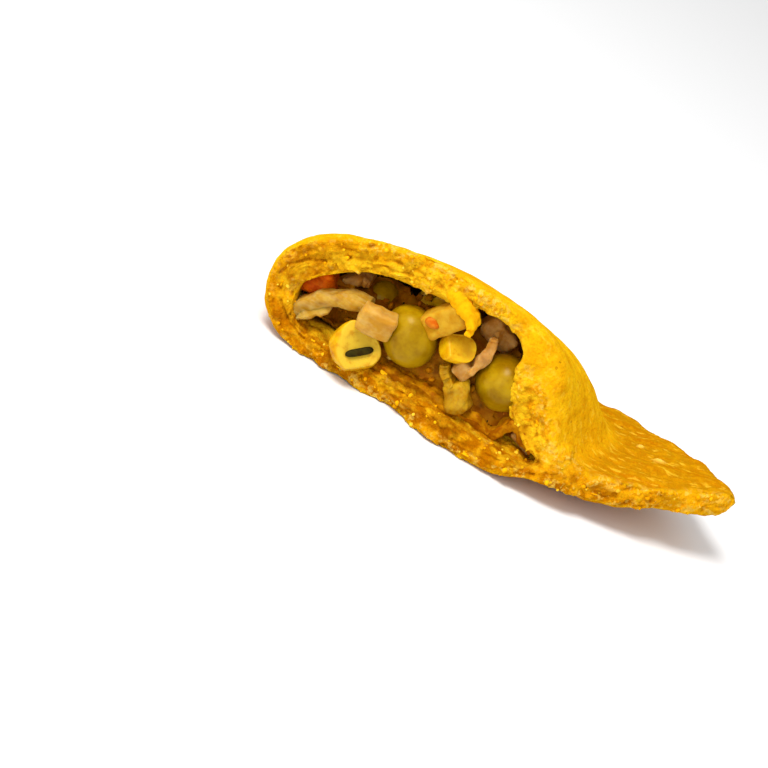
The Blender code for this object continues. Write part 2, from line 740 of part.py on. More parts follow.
def build():
    """Clear the scene and make both pieces."""
    for old in list(bpy.data.objects):
        bpy.data.objects.remove(old)
    patty = bpy.data.collections.new("vegetable_patty_half")
    cutters = bpy.data.collections.new("cutters")
    for collection in (patty, cutters):
        bpy.context.scene.collection.children.link(collection)
    for piece in (build_crust(patty, cutters), build_filling(patty, cutters)):
        piece.data.shade_smooth()
        piece.data.set_sharp_from_angle(angle=math.radians(50.0))


build()
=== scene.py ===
"""Looks of the torn half of a baked vegetable patty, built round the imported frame.

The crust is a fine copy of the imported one, whose torn face is broken into flaky layers and crumbs.
The filling is a core of sauce and mash with separate peas, corn kernels, onion, carrot, cabbage and
herbs set into it. Places on the patty are given in millimetres as (across from the fold, in from the
tear, up from the base), and TearFrame turns them into the frame's metres.
"""
import logging
import math
import random
from dataclasses import dataclass, field
from enum import Enum
from typing import Any, Callable, Dict, List, Mapping, Optional, Sequence, Tuple

import bpy
import numpy as np
from mathutils import Euler, Matrix, Vector, noise
from mathutils.bvhtree import BVHTree


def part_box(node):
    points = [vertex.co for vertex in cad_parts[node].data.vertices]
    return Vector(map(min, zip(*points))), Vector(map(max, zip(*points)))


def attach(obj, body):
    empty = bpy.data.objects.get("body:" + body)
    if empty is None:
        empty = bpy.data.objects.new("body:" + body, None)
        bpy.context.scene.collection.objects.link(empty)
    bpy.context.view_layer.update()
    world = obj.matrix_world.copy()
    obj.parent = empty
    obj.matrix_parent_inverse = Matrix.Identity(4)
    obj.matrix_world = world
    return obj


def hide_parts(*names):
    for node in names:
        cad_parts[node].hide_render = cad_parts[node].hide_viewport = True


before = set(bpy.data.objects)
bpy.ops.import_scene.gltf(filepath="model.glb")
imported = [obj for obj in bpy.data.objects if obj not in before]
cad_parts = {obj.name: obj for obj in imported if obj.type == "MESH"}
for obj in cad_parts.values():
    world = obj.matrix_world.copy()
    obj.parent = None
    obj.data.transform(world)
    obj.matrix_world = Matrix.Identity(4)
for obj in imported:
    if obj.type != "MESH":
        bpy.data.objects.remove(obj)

MM = 0.001
BODY = "root"
LAMP_LIGHT = 0.84           # finishes are darker than they look, by what the lamps add
TEAR_TO_FAR_END = 52.8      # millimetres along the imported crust
FULL_TURN = 6.28            # radians
NO_TURN = (0.0, 0.0, 0.0)
INWARDS = Vector((0.0, 1.0, 0.0))
OUTWARDS = Vector((0.0, -1.0, 0.0))
DOWNWARDS = Vector((0.0, 0.0, -1.0))

Span = Tuple[float, float]
Triple = Tuple[float, float, float]
Colour = Tuple[float, float, float, float]
Socket = bpy.types.NodeSocket
Piece = bpy.types.Object
Material = bpy.types.Material
Array = np.ndarray

log = logging.getLogger("patty")


def paint(red: int, green: int, blue: int) -> Colour:
    """A colour as it looks on a screen, from 0 to 255, in the renderer's own scale.

    Args:
        red: Red part.
        green: Green part.
        blue: Blue part.

    Returns:
        The colour with full alpha.
    """
    def linear(part: int) -> float:
        """One channel in linear light."""
        share = part / 255.0
        return share / 12.92 if share <= 0.04045 else ((share + 0.055) / 1.055) ** 2.4
    return linear(red) * LAMP_LIGHT, linear(green) * LAMP_LIGHT, linear(blue) * LAMP_LIGHT, 1.0


def ease(values: Any, low: float, high: float) -> Any:
    """Smooth step from 0 at low to 1 at high.

    Args:
        values: Number or array.
        low: Where the step starts.
        high: Where it ends.

    Returns:
        Number or array between 0 and 1.
    """
    share = np.clip((values - low) / (high - low), 0.0, 1.0)
    return share * share * (3.0 - 2.0 * share)


def lumps(points: Array, spacing: Sequence[float], seed: float) -> Array:
    """Smooth noise at many points.

    Args:
        points: Places in millimetres, one row each.
        spacing: Size of the lumps along each axis, in millimetres.
        seed: Offset that picks the pattern.

    Returns:
        Values between about -1 and 1.
    """
    scaled = points / np.array(spacing) + seed
    return np.array([noise.noise(Vector(row)) for row in scaled])


def crumbs(points: Array, size: float, seed: float) -> Array:
    """Rounded grains packed side by side.

    Args:
        points: Places in millimetres, one row each.
        size: Size of a grain in millimetres.
        seed: Offset that picks the pattern.

    Returns:
        About 1 at the middle of a grain and 0 or less between grains.
    """
    scaled = points / size + seed
    return np.array([1.0 - 1.7 * noise.voronoi(Vector(row))[0][0] for row in scaled])


def within(values: Array, span: Span) -> Array:
    """Which values lie between the two ends of a span."""
    return (values > span[0]) & (values < span[1])


def even(size: float) -> Triple:
    """The same size along each axis."""
    return size, size, size


def any_turn(dice: random.Random) -> Matrix:
    """A turn to any side, from three random draws."""
    return Euler([dice.uniform(0.0, FULL_TURN) for _ in range(3)]).to_matrix().to_4x4()


def turned_to(right: Vector, along: Vector, up: Vector) -> Matrix:
    """The turn that brings X, Y and Z to three directions."""
    return Matrix((right, along, up)).transposed().to_4x4()


@dataclass(frozen=True)
class Lumps:
    """Soft unevenness: its height and its size along each axis in millimetres, and its pattern."""

    height: float
    size: Triple
    seed: float = 0.0

    def at(self, points: Array, shift: float = 0.0) -> Array:
        """Heights at places in millimetres, with the pattern's seed shifted."""
        return self.height * lumps(points, self.size, self.seed + shift)


@dataclass(frozen=True)
class Grains:
    """Packed grains: height and size in millimetres, the level between them, and their pattern."""

    height: float
    size: float
    level: float
    seed: float = 0.0

    def at(self, points: Array, shift: float = 0.0) -> Array:
        """Heights at places in millimetres, with the pattern's seed shifted."""
        return self.height * (crumbs(points, self.size, self.seed + shift) - self.level)


@dataclass(frozen=True)
class TearFrame:
    """Places on the patty, seen from its torn face."""

    fold: float
    tear: float

    def point(self, spot: Sequence[float]) -> Vector:
        """A place in the frame's metres.

        Args:
            spot: Millimetres across from the fold, in from the tear and up from the base.

        Returns:
            The point in metres.
        """
        return Vector((self.fold + spot[0] * MM, self.tear + spot[1] * MM, spot[2] * MM))

    def local(self, points: Array) -> Array:
        """Frame metres turned into tear millimetres, one row each."""
        return (points - np.array((self.fold, self.tear, 0.0))) / MM


@dataclass(frozen=True)
class Seat:
    """Where a piece sits: its middle, its turn in degrees and its size in millimetres."""

    spot: Triple
    turn: Triple
    size: Triple

    def rotation(self) -> Euler:
        """The turn in radians."""
        return Euler([math.radians(angle) for angle in self.turn])


def hold(piece: Piece) -> None:
    """Make one object the only selected and active one."""
    bpy.ops.object.select_all(action="DESELECT")
    piece.select_set(True)
    bpy.context.view_layer.objects.active = piece


def named_new(name: str) -> Piece:
    """Name the primitive that was just added.

    Args:
        name: Name of the piece.

    Returns:
        The new object.
    """
    piece = bpy.context.active_object
    piece.name = name
    piece.data.name = name
    return piece


def add_piece(name: str, primitive: Callable[..., Any], **settings: Any) -> Piece:
    """Add a primitive.

    Args:
        name: Name of the piece.
        primitive: The operator that adds it.
        **settings: The operator's settings.

    Returns:
        The new object.
    """
    bpy.ops.object.select_all(action="DESELECT")
    primitive(**settings)
    return named_new(name)


def add_ball(name: str, segments: int, rings: int) -> Piece:
    """Add a ball one unit wide."""
    add = bpy.ops.mesh.primitive_uv_sphere_add
    return add_piece(name, add, segments=segments, ring_count=rings, radius=0.5)


def add_block(name: str, size: float = 1.0) -> Piece:
    """Add a cube."""
    return add_piece(name, bpy.ops.mesh.primitive_cube_add, size=size)


def add_sheet(name: str, columns: int, rows: int) -> Piece:
    """Add a flat grid one unit wide."""
    add = bpy.ops.mesh.primitive_grid_add
    return add_piece(name, add, x_subdivisions=columns, y_subdivisions=rows, size=1.0)


def size_up(piece: Piece, size: Sequence[float]) -> None:
    """Give a primitive its size in millimetres."""
    piece.scale = Vector(size) * MM
    bpy.ops.object.transform_apply(location=False, rotation=False, scale=True)


def modify(piece: Piece, kind: str, **settings: Any) -> None:
    """Add one modifier and apply it.

    Args:
        piece: Object to change.
        kind: Modifier type.
        **settings: The modifier's values.
    """
    hold(piece)
    step = piece.modifiers.new(kind.lower(), kind)
    for key, value in settings.items():
        setattr(step, key, value)
    bpy.ops.object.modifier_apply(modifier=step.name)


def settle(piece: Piece, tear: TearFrame, seat: Seat) -> None:
    """Turn a piece, move it to its seat and bake that into its mesh.

    Args:
        piece: The piece, at the origin.
        tear: The tear frame.
        seat: Where the piece sits.
    """
    hold(piece)
    piece.rotation_euler = seat.rotation()
    piece.location = tear.point(seat.spot)
    bpy.ops.object.transform_apply(location=True, rotation=True, scale=True)


def surface_of(piece: Piece) -> BVHTree:
    """A search tree of a piece's faces."""
    return BVHTree.FromObject(piece, bpy.context.evaluated_depsgraph_get())


def rows_of(items: Any, key: str, width: int, kind: type = float) -> Array:
    """Values of a mesh's items, one row each."""
    flat = np.zeros(len(items) * width, dtype=kind)
    items.foreach_get(key, flat)
    return flat.reshape(-1, width)


def points_of(piece: Piece) -> Array:
    """The vertices of a piece in metres, one row each."""
    return rows_of(piece.data.vertices, "co", 3)


def normals_of(piece: Piece) -> Array:
    """The vertex normals of a piece, one row each."""
    return rows_of(piece.data.vertices, "normal", 3)


def edges_of(piece: Piece) -> Array:
    """The two vertices of each edge, one row each."""
    return rows_of(piece.data.edges, "vertices", 2, np.int64)


def reshape(piece: Piece, points: Array) -> None:
    """Put a piece's vertices at new places in metres."""
    flat = np.ascontiguousarray(points, dtype=np.float32).ravel()
    piece.data.vertices.foreach_set("co", flat)
    piece.data.update()


def sculpt(piece: Piece, push: Callable[[Array], Array]) -> None:
    """Push vertices along their normals.

    Args:
        piece: Object to shape.
        push: Gives millimetres outwards for places in millimetres.
    """
    points = points_of(piece)
    out = push(points / MM)
    reshape(piece, points + normals_of(piece) * out[:, None] * MM)


def mark(piece: Piece, name: str, values: Array) -> None:
    """Keep one value a vertex under a name that the finish reads."""
    layer = piece.data.attributes.get(name) or piece.data.attributes.new(name, "FLOAT", "POINT")
    layer.data.foreach_set("value", np.ascontiguousarray(values, dtype=np.float32))


def mark_all(piece: Piece, name: str, value: float) -> None:
    """Keep the same value at every vertex."""
    mark(piece, name, np.full(len(piece.data.vertices), value))


def marked(piece: Piece, name: str) -> Array:
    """Read back the values kept under a name."""
    values = np.zeros(len(piece.data.vertices), dtype=np.float32)
    piece.data.attributes[name].data.foreach_get("value", values)
    return values.astype(float)


def softened(values: Array, edges: Array, turns: int) -> Array:
    """Soften values over the mesh by averaging each with its neighbours.

    Args:
        values: One value for each vertex.
        edges: The two vertices of each edge.
        turns: How many times to average.

    Returns:
        The softened values.
    """
    count = len(values)
    reach = np.maximum(np.bincount(edges.ravel(), minlength=count), 1)
    for _ in range(turns):
        total = np.bincount(edges[:, 0], values[edges[:, 1]], count)
        total += np.bincount(edges[:, 1], values[edges[:, 0]], count)
        values = 0.5 * values + 0.5 * total / reach
    return values


def copied_node(node: str, name: str) -> Piece:
    """Copy a CAD node's mesh into a new object with its loose triangles merged.

    Args:
        node: Name of the CAD node.
        name: Name of the copy.

    Returns:
        The copy, at the origin.
    """
    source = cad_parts[node]
    piece = bpy.data.objects.new(name, source.data.copy())
    bpy.context.scene.collection.objects.link(piece)
    piece.data.materials.clear()
    hold(piece)
    bpy.ops.object.mode_set(mode="EDIT")
    bpy.ops.mesh.select_all(action="SELECT")
    bpy.ops.mesh.remove_doubles(threshold=1e-6)
    bpy.ops.object.mode_set(mode="OBJECT")
    return piece


def stamped(template: Piece, places: Sequence[Matrix], tints: Sequence[float], name: str) -> Piece:
    """Copy one modelled shape to many places, join the copies and remove the shape.

    Args:
        template: The shape, at the origin.
        places: A matrix for each copy.
        tints: A value for each copy, kept under "tint".
        name: Name of the joined piece.

    Returns:
        The joined piece.
    """
    copies = []
    for at, tint in zip(places, tints):
        copy = template.copy()
        copy.data = template.data.copy()
        copy.data.transform(at)
        bpy.context.scene.collection.objects.link(copy)
        mark_all(copy, "tint", tint)
        copies.append(copy)
    bpy.ops.object.select_all(action="DESELECT")
    for copy in copies:
        copy.select_set(True)
    bpy.context.view_layer.objects.active = copies[0]
    bpy.ops.object.join()
    joined = named_new(name)
    bpy.data.meshes.remove(template.data)
    return joined


def dress(piece: Piece, material: Material) -> Piece:
    """Give a finished piece its material, smooth shading, slot and body.

    Args:
        piece: The finished piece.
        material: Its material.

    Returns:
        The same piece.
    """
    piece.data.materials.clear()
    piece.data.materials.append(material)
    piece.data.shade_smooth()
    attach(piece, BODY)
    log.info("%s: %d faces", piece.name, len(piece.data.polygons))
    return piece


def curve_point(route: Sequence[Triple], share: float) -> Vector:
    """A point on a smooth curve through a route.

    Args:
        route: Points of the route.
        share: 0 at its start, 1 at its end.

    Returns:
        The point.
    """
    spots = [Vector(point) for point in route]
    at = min(max(share, 0.0), 0.99999) * (len(spots) - 1)
    leg = int(at)
    part = at - leg
    first, second = spots[leg], spots[leg + 1]
    before = spots[leg - 1] if leg > 0 else first * 2.0 - second
    after = spots[leg + 2] if leg + 2 < len(spots) else second * 2.0 - first
    pull = (second - before) * 0.5
    push = (after - first) * 0.5
    square, cube = part * part, part * part * part
    rest = pull * (cube - 2.0 * square + part) + push * (cube - square)
    return first * (2.0 * cube - 3.0 * square + 1.0) + second * (3.0 * square - 2.0 * cube) + rest


@dataclass(frozen=True)
class Strip:
    """A slice's width and thickness in millimetres, its lean in degrees, and its ragged edge."""

    width: float
    thick: float
    lean: float
    ragged: float = 0.7


def ribbon(tear: TearFrame, name: str, route: Sequence[Triple], strip: Strip) -> Piece:
    """A curved slice along a route, its width running into the patty.

    Args:
        tear: The tear frame.
        name: Name of the piece.
        route: Points in the tear frame.
        strip: The slice's measures.

    Returns:
        The slice.
    """
    piece = add_sheet(name, 44, 10)
    grid = points_of(piece)
    lift = math.radians(strip.lean)
    wander = lumps(grid, (0.12, 0.5, 1.0), len(name) * 1.7)
    placed = []
    for row, sway in zip(grid, wander):
        middle = curve_point(route, row[0] + 0.5 + 0.02 * sway)
        side = row[1] * (strip.width + 2.0 * strip.ragged * sway)
        placed.append(tear.point(middle + Vector((0.0, side * math.cos(lift), side * math.sin(lift)))))
    reshape(piece, np.array(placed))
    modify(piece, "SOLIDIFY", thickness=strip.thick * MM, offset=0.0)
    modify(piece, "BEVEL", width=0.28 * strip.thick * MM, segments=2, limit_method="ANGLE")
    modify(piece, "SMOOTH", factor=0.5, iterations=4)
    return piece


@dataclass(frozen=True)
class Patches:
    """Soft patches: size in millimetres, the noise levels of their fade, and how strongly they show."""

    size: float
    low: float
    high: float
    share: float = 1.0


@dataclass(frozen=True)
class Flecks:
    """Round flecks: spacing in millimetres, radius in spacings, how many show, and how strongly."""

    spacing: float
    radius: float
    shown: float
    share: float = 1.0


class Graph:
    """A node tree with short calls for the nodes that the finishes use."""

    def __init__(self, tree: bpy.types.NodeTree) -> None:
        """Take one tree."""
        self.tree = tree

    def node(self, kind: str, sockets: Optional[Mapping[Any, Any]] = None,
             **settings: Any) -> bpy.types.Node:
        """Add one node.

        Args:
            kind: Node type.
            sockets: A link or a value for each named or numbered input.
            **settings: The node's own settings.

        Returns:
            The node.
        """
        node = self.tree.nodes.new(kind)
        for key, value in settings.items():
            setattr(node, key, value)
        for key, value in (sockets or {}).items():
            if isinstance(value, Socket):
                self.tree.links.new(value, node.inputs[key])
            else:
                node.inputs[key].default_value = value
        return node

    def millimetres(self) -> Socket:
        """Object coordinates in millimetres."""
        place = self.node("ShaderNodeTexCoord").outputs["Object"]
        scaled = self.node("ShaderNodeVectorMath", {0: place, "Scale": 1000.0}, operation="SCALE")
        return scaled.outputs["Vector"]

    def stretched(self, place: Socket, scale: Triple, turn: Triple = NO_TURN) -> Socket:
        """Coordinates scaled, and turned by degrees."""
        values = {"Vector": place, "Rotation": [math.radians(angle) for angle in turn], "Scale": scale}
        return self.node("ShaderNodeMapping", values).outputs["Vector"]

    def value(self, name: str) -> Socket:
        """A value kept on the mesh."""
        return self.node("ShaderNodeAttribute", attribute_name=name).outputs["Fac"]

    def noise(self, place: Socket, scale: Any, detail: float = 4.0) -> Socket:
        """Noise from 0 to 1."""
        values = {"Vector": place, "Scale": scale, "Detail": detail, "Roughness": 0.55}
        return self.node("ShaderNodeTexNoise", values).outputs["Fac"]

    def step(self, value: Socket, low: Any, high: Any, top: float = 1.0) -> Socket:
        """Smooth step from 0 to top."""
        values = {"Value": value, "From Min": low, "From Max": high, "To Min": 0.0, "To Max": top}
        node = self.node("ShaderNodeMapRange", values, interpolation_type="SMOOTHSTEP")
        return node.outputs["Result"]

    def line(self, value: Socket, low: float, high: float, start: float, end: float) -> Socket:
        """Straight line from start to end."""
        values = {"Value": value, "From Min": low, "From Max": high, "To Min": start, "To Max": end}
        return self.node("ShaderNodeMapRange", values).outputs["Result"]

    def between(self, mask: Socket, ends: Span) -> Socket:
        """A value that goes from one end to the other as a mask goes from 0 to 1."""
        return self.line(mask, 0.0, 1.0, *ends)

    def math(self, operation: str, first: Any, second: Any) -> Socket:
        """One sum on two values."""
        return self.node("ShaderNodeMath", {0: first, 1: second}, operation=operation).outputs[0]

    def mix(self, share: Any, first: Any, second: Any, blend: str = "MIX") -> Socket:
        """Two colours mixed."""
        values = {0: share, 6: first, 7: second}
        return self.node("ShaderNodeMix", values, data_type="RGBA", blend_type=blend).outputs[2]

    def bump(self, height: Socket, strength: float, distance: float) -> Socket:
        """Normal from a height."""
        values = {"Height": height, "Strength": strength, "Distance": distance * MM}
        return self.node("ShaderNodeBump", values).outputs["Normal"]

    def effect(self, group: "Effect", **values: Any) -> Socket:
        """The first output of a shared effect."""
        return self.node("ShaderNodeGroup", values, node_tree=group.tree).outputs[0]


class Recipe(Graph):
    """A material whose shader sits in the material itself."""

    def __init__(self, name: str) -> None:
        """Start a material with a Principled shader.

        Args:
            name: Name of the material.
        """
        self.material = bpy.data.materials.new(name)
        self.material.use_nodes = True
        super().__init__(self.material.node_tree)
        self.shader = self.tree.nodes["Principled BSDF"]

    def set(self, **values: Any) -> None:
        """Set or link the shader's inputs.

        Args:
            **values: Links or values, under the inputs' names with underscores for spaces.
        """
        for key, value in values.items():
            plug = self.shader.inputs[key.replace("_", " ")]
            if isinstance(value, Socket):
                self.tree.links.new(value, plug)
            else:
                plug.default_value = value


class FoodRecipe(Recipe):
    """A material of food, with the shared effects over it in millimetres."""

    def __init__(self, name: str, effects: "Effects") -> None:
        """Start the material.

        Args:
            name: Name of the material.
            effects: The shared effects.
        """
        super().__init__(name)
        self.effects = effects
        self.place = self.millimetres()

    def axes(self) -> Sequence[Socket]:
        """Across, deep and high, in millimetres of the frame."""
        return self.node("ShaderNodeSeparateXYZ", {0: self.place}).outputs

    def patches(self, kind: Patches, place: Optional[Socket] = None) -> Socket:
        """Where patches lie, from 0 to 1, on the plain coordinates unless others are given."""
        at = self.place if place is None else place
        return self.effect(self.effects.mottle, Vector=at, Size=kind.size, Low=kind.low, High=kind.high)

    def flecks(self, kind: Flecks) -> Socket:
        """Where flecks lie, 0 or 1."""
        values = {"Spacing": kind.spacing, "Radius": kind.radius, "Share": kind.shown}
        return self.effect(self.effects.specks, Vector=self.place, **values)

    def height(self, coarse: float, fine: float, balance: float) -> Socket:
        """Height of a coarse and a fine grain, with the fine one's part in it."""
        values = {"Coarse": coarse, "Fine": fine, "Balance": balance}
        return self.effect(self.effects.grain, Vector=self.place, **values)

    def laid(self, under: Any, mask: Socket, share: Any, over: Any) -> Socket:
        """A colour with another laid over it where a mask shows."""
        return self.mix(self.math("MULTIPLY", mask, share), under, over)

    def dabbed(self, under: Any, kind: Patches, over: Any, place: Optional[Socket] = None) -> Socket:
        """A colour with patches of another on it."""
        return self.laid(under, self.patches(kind, place), kind.share, over)

    def drift(self, scale: float, ends: Span) -> Socket:
        """A value that wanders softly between two ends."""
        return self.line(self.noise(self.place, scale, 3.0), 0.3, 0.7, *ends)

    def scatter(self, share: float, reach: Triple, scale: float) -> None:
        """Let light into the food."""
        self.set(Subsurface_Weight=share, Subsurface_Radius=reach, Subsurface_Scale=scale)


class Effect(Graph):
    """A node group that several finishes use. It gives one value that changes over the surface."""

    def __init__(self, name: str, inputs: Mapping[str, float], output: str) -> None:
        """Make an empty group with a Vector input and the named values.

        Args:
            name: Name of the group.
            inputs: Names and usual values of its number inputs.
            output: Name of its output.
        """
        super().__init__(bpy.data.node_groups.new(name, "ShaderNodeTree"))
        sockets = self.tree.interface
        sockets.new_socket("Vector", in_out="INPUT", socket_type="NodeSocketVector")
        for key, value in inputs.items():
            sockets.new_socket(key, in_out="INPUT", socket_type="NodeSocketFloat").default_value = value
        sockets.new_socket(output, in_out="OUTPUT", socket_type="NodeSocketFloat")
        self.given = self.tree.nodes.new("NodeGroupInput").outputs
        self.result = self.tree.nodes.new("NodeGroupOutput").inputs[0]

    def over(self, size: Socket) -> Socket:
        """Scale of a pattern of the given size in millimetres."""
        return self.math("DIVIDE", 1.0, size)

    def give(self, value: Socket) -> None:
        """Put out the group's value."""
        self.tree.links.new(value, self.result)


class Effects:
    """The shared effects, each built once."""

    def __init__(self) -> None:
        """Build the groups."""
        self.mottle = self.build_mottle()
        self.specks = self.build_specks()
        self.grain = self.build_grain()
        self.fibre = self.build_fibre()

    def build_mottle(self) -> Effect:
        """Soft patches of a given size."""
        group = Effect("soft_patches", {"Size": 5.0, "Low": 0.4, "High": 0.6}, "Mask")
        cloud = group.noise(group.given["Vector"], group.over(group.given["Size"]))
        group.give(group.step(cloud, group.given["Low"], group.given["High"]))
        return group

    def build_specks(self) -> Effect:
        """Small round flecks, a given share of which show."""
        group = Effect("flecks", {"Spacing": 1.5, "Radius": 0.25, "Share": 0.4}, "Mask")
        values = {"Vector": group.given["Vector"], "Scale": group.over(group.given["Spacing"])}
        cells = group.node("ShaderNodeTexVoronoi", values)
        inside = group.math("LESS_THAN", cells.outputs["Distance"], group.given["Radius"])
        split = group.node("ShaderNodeSeparateColor", {"Color": cells.outputs["Color"]})
        shown = group.math("LESS_THAN", split.outputs[0], group.given["Share"])
        group.give(group.math("MULTIPLY", inside, shown))
        return group

    def build_grain(self) -> Effect:
        """Height of a coarse and a fine grain together."""
        group = Effect("grain", {"Coarse": 1.0, "Fine": 0.3, "Balance": 0.5}, "Height")
        coarse = group.noise(group.given["Vector"], group.over(group.given["Coarse"]), 3.0)
        fine = group.noise(group.given["Vector"], group.over(group.given["Fine"]), 3.0)
        small = group.math("MULTIPLY", fine, group.given["Balance"])
        group.give(group.math("ADD", coarse, small))
        return group

    def build_fibre(self) -> Effect:
        """Fine lines along a stretched vector."""
        group = Effect("fibres", {"Count": 12.0, "Low": 0.35, "High": 0.65}, "Mask")
        lines = group.noise(group.given["Vector"], group.given["Count"], 2.0)
        group.give(group.step(lines, group.given["Low"], group.given["High"]))
        return group


@dataclass(frozen=True)
class PastryFinish:
    """Baked golden pastry: smooth skin, browned flange and base, and layered crumb at the tear.
    The flange is also darkened with painted shade, and the torn crumb holds painted shade and
    highlights.

    A span holds the two values between which something fades in, in millimetres where it is a place.
    """

    gold: Colour = paint(250, 190, 16)
    amber: Colour = paint(236, 164, 8)
    # baked browning and painted shade: the flange is darker partly because less light falls on its
    # upward face
    flange: Colour = paint(176, 114, 4)
    browned: Colour = paint(196, 116, 2)
    scorched: Colour = paint(150, 84, 6)
    pale: Colour = paint(255, 204, 50)
    crumb: Colour = paint(255, 200, 28)
    layer: Colour = paint(254, 180, 14)
    toasted: Colour = paint(222, 134, 6)
    # painted shade: darker brown for the low places of the torn relief
    pit_shade: Colour = paint(200, 116, 2)
    # painted shade: dark brown for painted holes in the crumb and for the darker lower part
    shade_brown: Colour = paint(156, 84, 4)
    # painted highlight colour: pale flecks on raised crumb and on the flakes along the border
    fleck: Colour = paint(255, 212, 86)
    skin_edge: Colour = paint(250, 198, 14)
    moist: Colour = paint(236, 168, 12)
    # sauce stain and painted shade: the inside turns to this deeper in the mouth
    sauce_and_shade: Colour = paint(176, 100, 8)
    blister: Colour = paint(255, 204, 80)
    flange_share: float = 0.8
    skin_clouds: Patches = Patches(11.0, 0.38, 0.66, 0.75)
    skin_toast: Patches = Patches(3.6, 0.52, 0.74, 0.50)
    skin_mottle: Patches = Patches(1.3, 0.44, 0.62, 0.40)
    skin_grit: Patches = Patches(0.5, 0.50, 0.64, 0.30)
    skin_dots: Flecks = Flecks(2.3, 0.12, 0.3, 0.45)
    streaks: Patches = Patches(1.6, 0.46, 0.68)
    streak_scale: Triple = (0.22, 0.85, 0.22)
    streak_share: Span = (0.26, 0.70)
    dashes: Patches = Patches(1.2, 0.56, 0.68, 0.50)
    dash_scale: Triple = (0.6, 1.1, 0.7)
    dash_turn: Triple = (0.0, 0.0, 20.0)
    base_spots: Patches = Patches(5.0, 0.45, 0.68, 0.6)
    base_share: float = 0.85
    wander: Span = (-0.34, 0.34)
    wander_scale: float = 0.40
    crumb_from: Span = (0.15, 0.55)
    torn_toast: Patches = Patches(2.6, 0.50, 0.66)
    toast_grit: Patches = Patches(0.7, 0.40, 0.62)
    toast_share: Span = (0.15, 0.80)
    # painted shade where the torn relief sinks
    pit_shade_level: Span = (-0.16, -0.60)
    pit_shade_share: float = 0.55
    # painted shade: dark dots standing for holes in the crumb
    hole_shadows: Flecks = Flecks(0.95, 0.22, 0.30, 0.55)
    worn: Patches = Patches(4.0, 0.46, 0.60, 0.28)
    # painted highlights on the raised relief
    peak_highlight_level: Span = (0.02, 0.35)
    peak_highlights: Patches = Patches(0.9, 0.48, 0.62)
    # browner below and at the fold: partly baked browning, partly painted shade, darker towards the
    # base and the fold
    fold_from: Span = (-27.0, -36.0)
    fold_share: float = 0.60
    low_from: Span = (9.5, 3.5)
    rough: Patches = Patches(2.0, 0.38, 0.62)
    rough_share: Span = (0.30, 1.0)
    scorches: Patches = Patches(3.2, 0.48, 0.60, 0.50)
    edge_layer: Span = (0.75, 0.30)
    edge_share: float = 0.6
    # painted highlights on the flakes along the skin border, weaker towards the fold
    border_layer: Span = (2.4, 0.8)
    border_highlight_share: Span = (0.65, 0.20)
    border_highlights: Patches = Patches(1.1, 0.52, 0.60)
    film: Patches = Patches(2.2, 0.46, 0.66, 0.45)
    # deeper in the mouth: sauce stain and painted shade
    sauce_and_shade_from: Span = (-21.0, -13.0)
    sauce_share: float = 0.75
    skin_grain: Triple = (1.3, 0.32, 0.45)
    torn_grain: Triple = (0.7, 0.24, 0.9)
    torn_grain_share: float = 1.2
    sheen: Span = (0.50, 0.66)
    sheen_scale: float = 0.3
    torn_dullness: float = 0.24
    bump: float = 0.85
    bump_height: float = 0.42
    scatter: float = 0.20
    scatter_reach: Triple = (1.0, 0.5, 0.12)
    scatter_scale: float = 0.0012

    def skin(self, graph: FoodRecipe) -> Socket:
        """Colour of the outside.

        Args:
            graph: The material.

        Returns:
            The colour.
        """
        colour = graph.dabbed(self.gold, self.skin_clouds, self.amber)
        # flange colour: baked browning and painted shade together
        colour = graph.laid(colour, graph.value("rim"), self.flange_share, self.flange)
        lines = graph.stretched(graph.place, self.streak_scale)
        strong = graph.between(graph.value("rim"), self.streak_share)
        colour = graph.laid(colour, graph.patches(self.streaks, lines), strong, self.browned)
        colour = graph.dabbed(colour, self.skin_toast, self.browned)
        colour = graph.dabbed(colour, self.skin_mottle, self.amber)
        colour = graph.dabbed(colour, self.skin_grit, self.browned)
        short = graph.stretched(graph.place, self.dash_scale, self.dash_turn)
        colour = graph.dabbed(colour, self.dashes, self.pale, short)
        colour = graph.laid(colour, graph.flecks(self.skin_dots), self.skin_dots.share, self.scorched)
        colour = graph.mix(graph.value("blister"), colour, self.blister)
        under = graph.dabbed(self.browned, self.base_spots, self.scorched)
        return graph.laid(colour, graph.value("base"), self.base_share, under)

    def torn(self, graph: FoodRecipe) -> Socket:
        """Colour of the torn face's layers and crumb, with painted shade in its pits and dark dots
        and painted highlights on its raised crumbs.

        It is browner below and at the fold, partly from baking and partly painted shade, and brighter
        along the skin, partly with painted highlights.

        Args:
            graph: The material.

        Returns:
            The colour.
        """
        relief = graph.value("relief")
        depth = graph.math("ADD", graph.value("share"), graph.drift(self.wander_scale, self.wander))
        colour = graph.mix(graph.step(depth, *self.crumb_from), self.layer, self.crumb)
        grit = graph.between(graph.patches(self.toast_grit), self.toast_share)
        colour = graph.laid(colour, graph.patches(self.torn_toast), grit, self.toasted)
        # painted shade: darker where the relief is low
        colour = graph.laid(colour, graph.step(relief, *self.pit_shade_level), self.pit_shade_share, self.pit_shade)
        worn = graph.patches(self.worn)
        # painted shade: dark dots for holes in the crumb, where the patches lie
        hole_shadows = graph.math("MULTIPLY", graph.flecks(self.hole_shadows), worn)
        colour = graph.laid(colour, hole_shadows, self.hole_shadows.share, self.shade_brown)
        colour = graph.laid(colour, worn, self.worn.share, self.browned)
        # painted highlight: paler where the relief stands highest
        high = graph.step(relief, *self.peak_highlight_level)
        colour = graph.laid(colour, high, graph.patches(self.peak_highlights), self.fleck)
        across, _, up = graph.axes()
        layer = graph.value("layer")
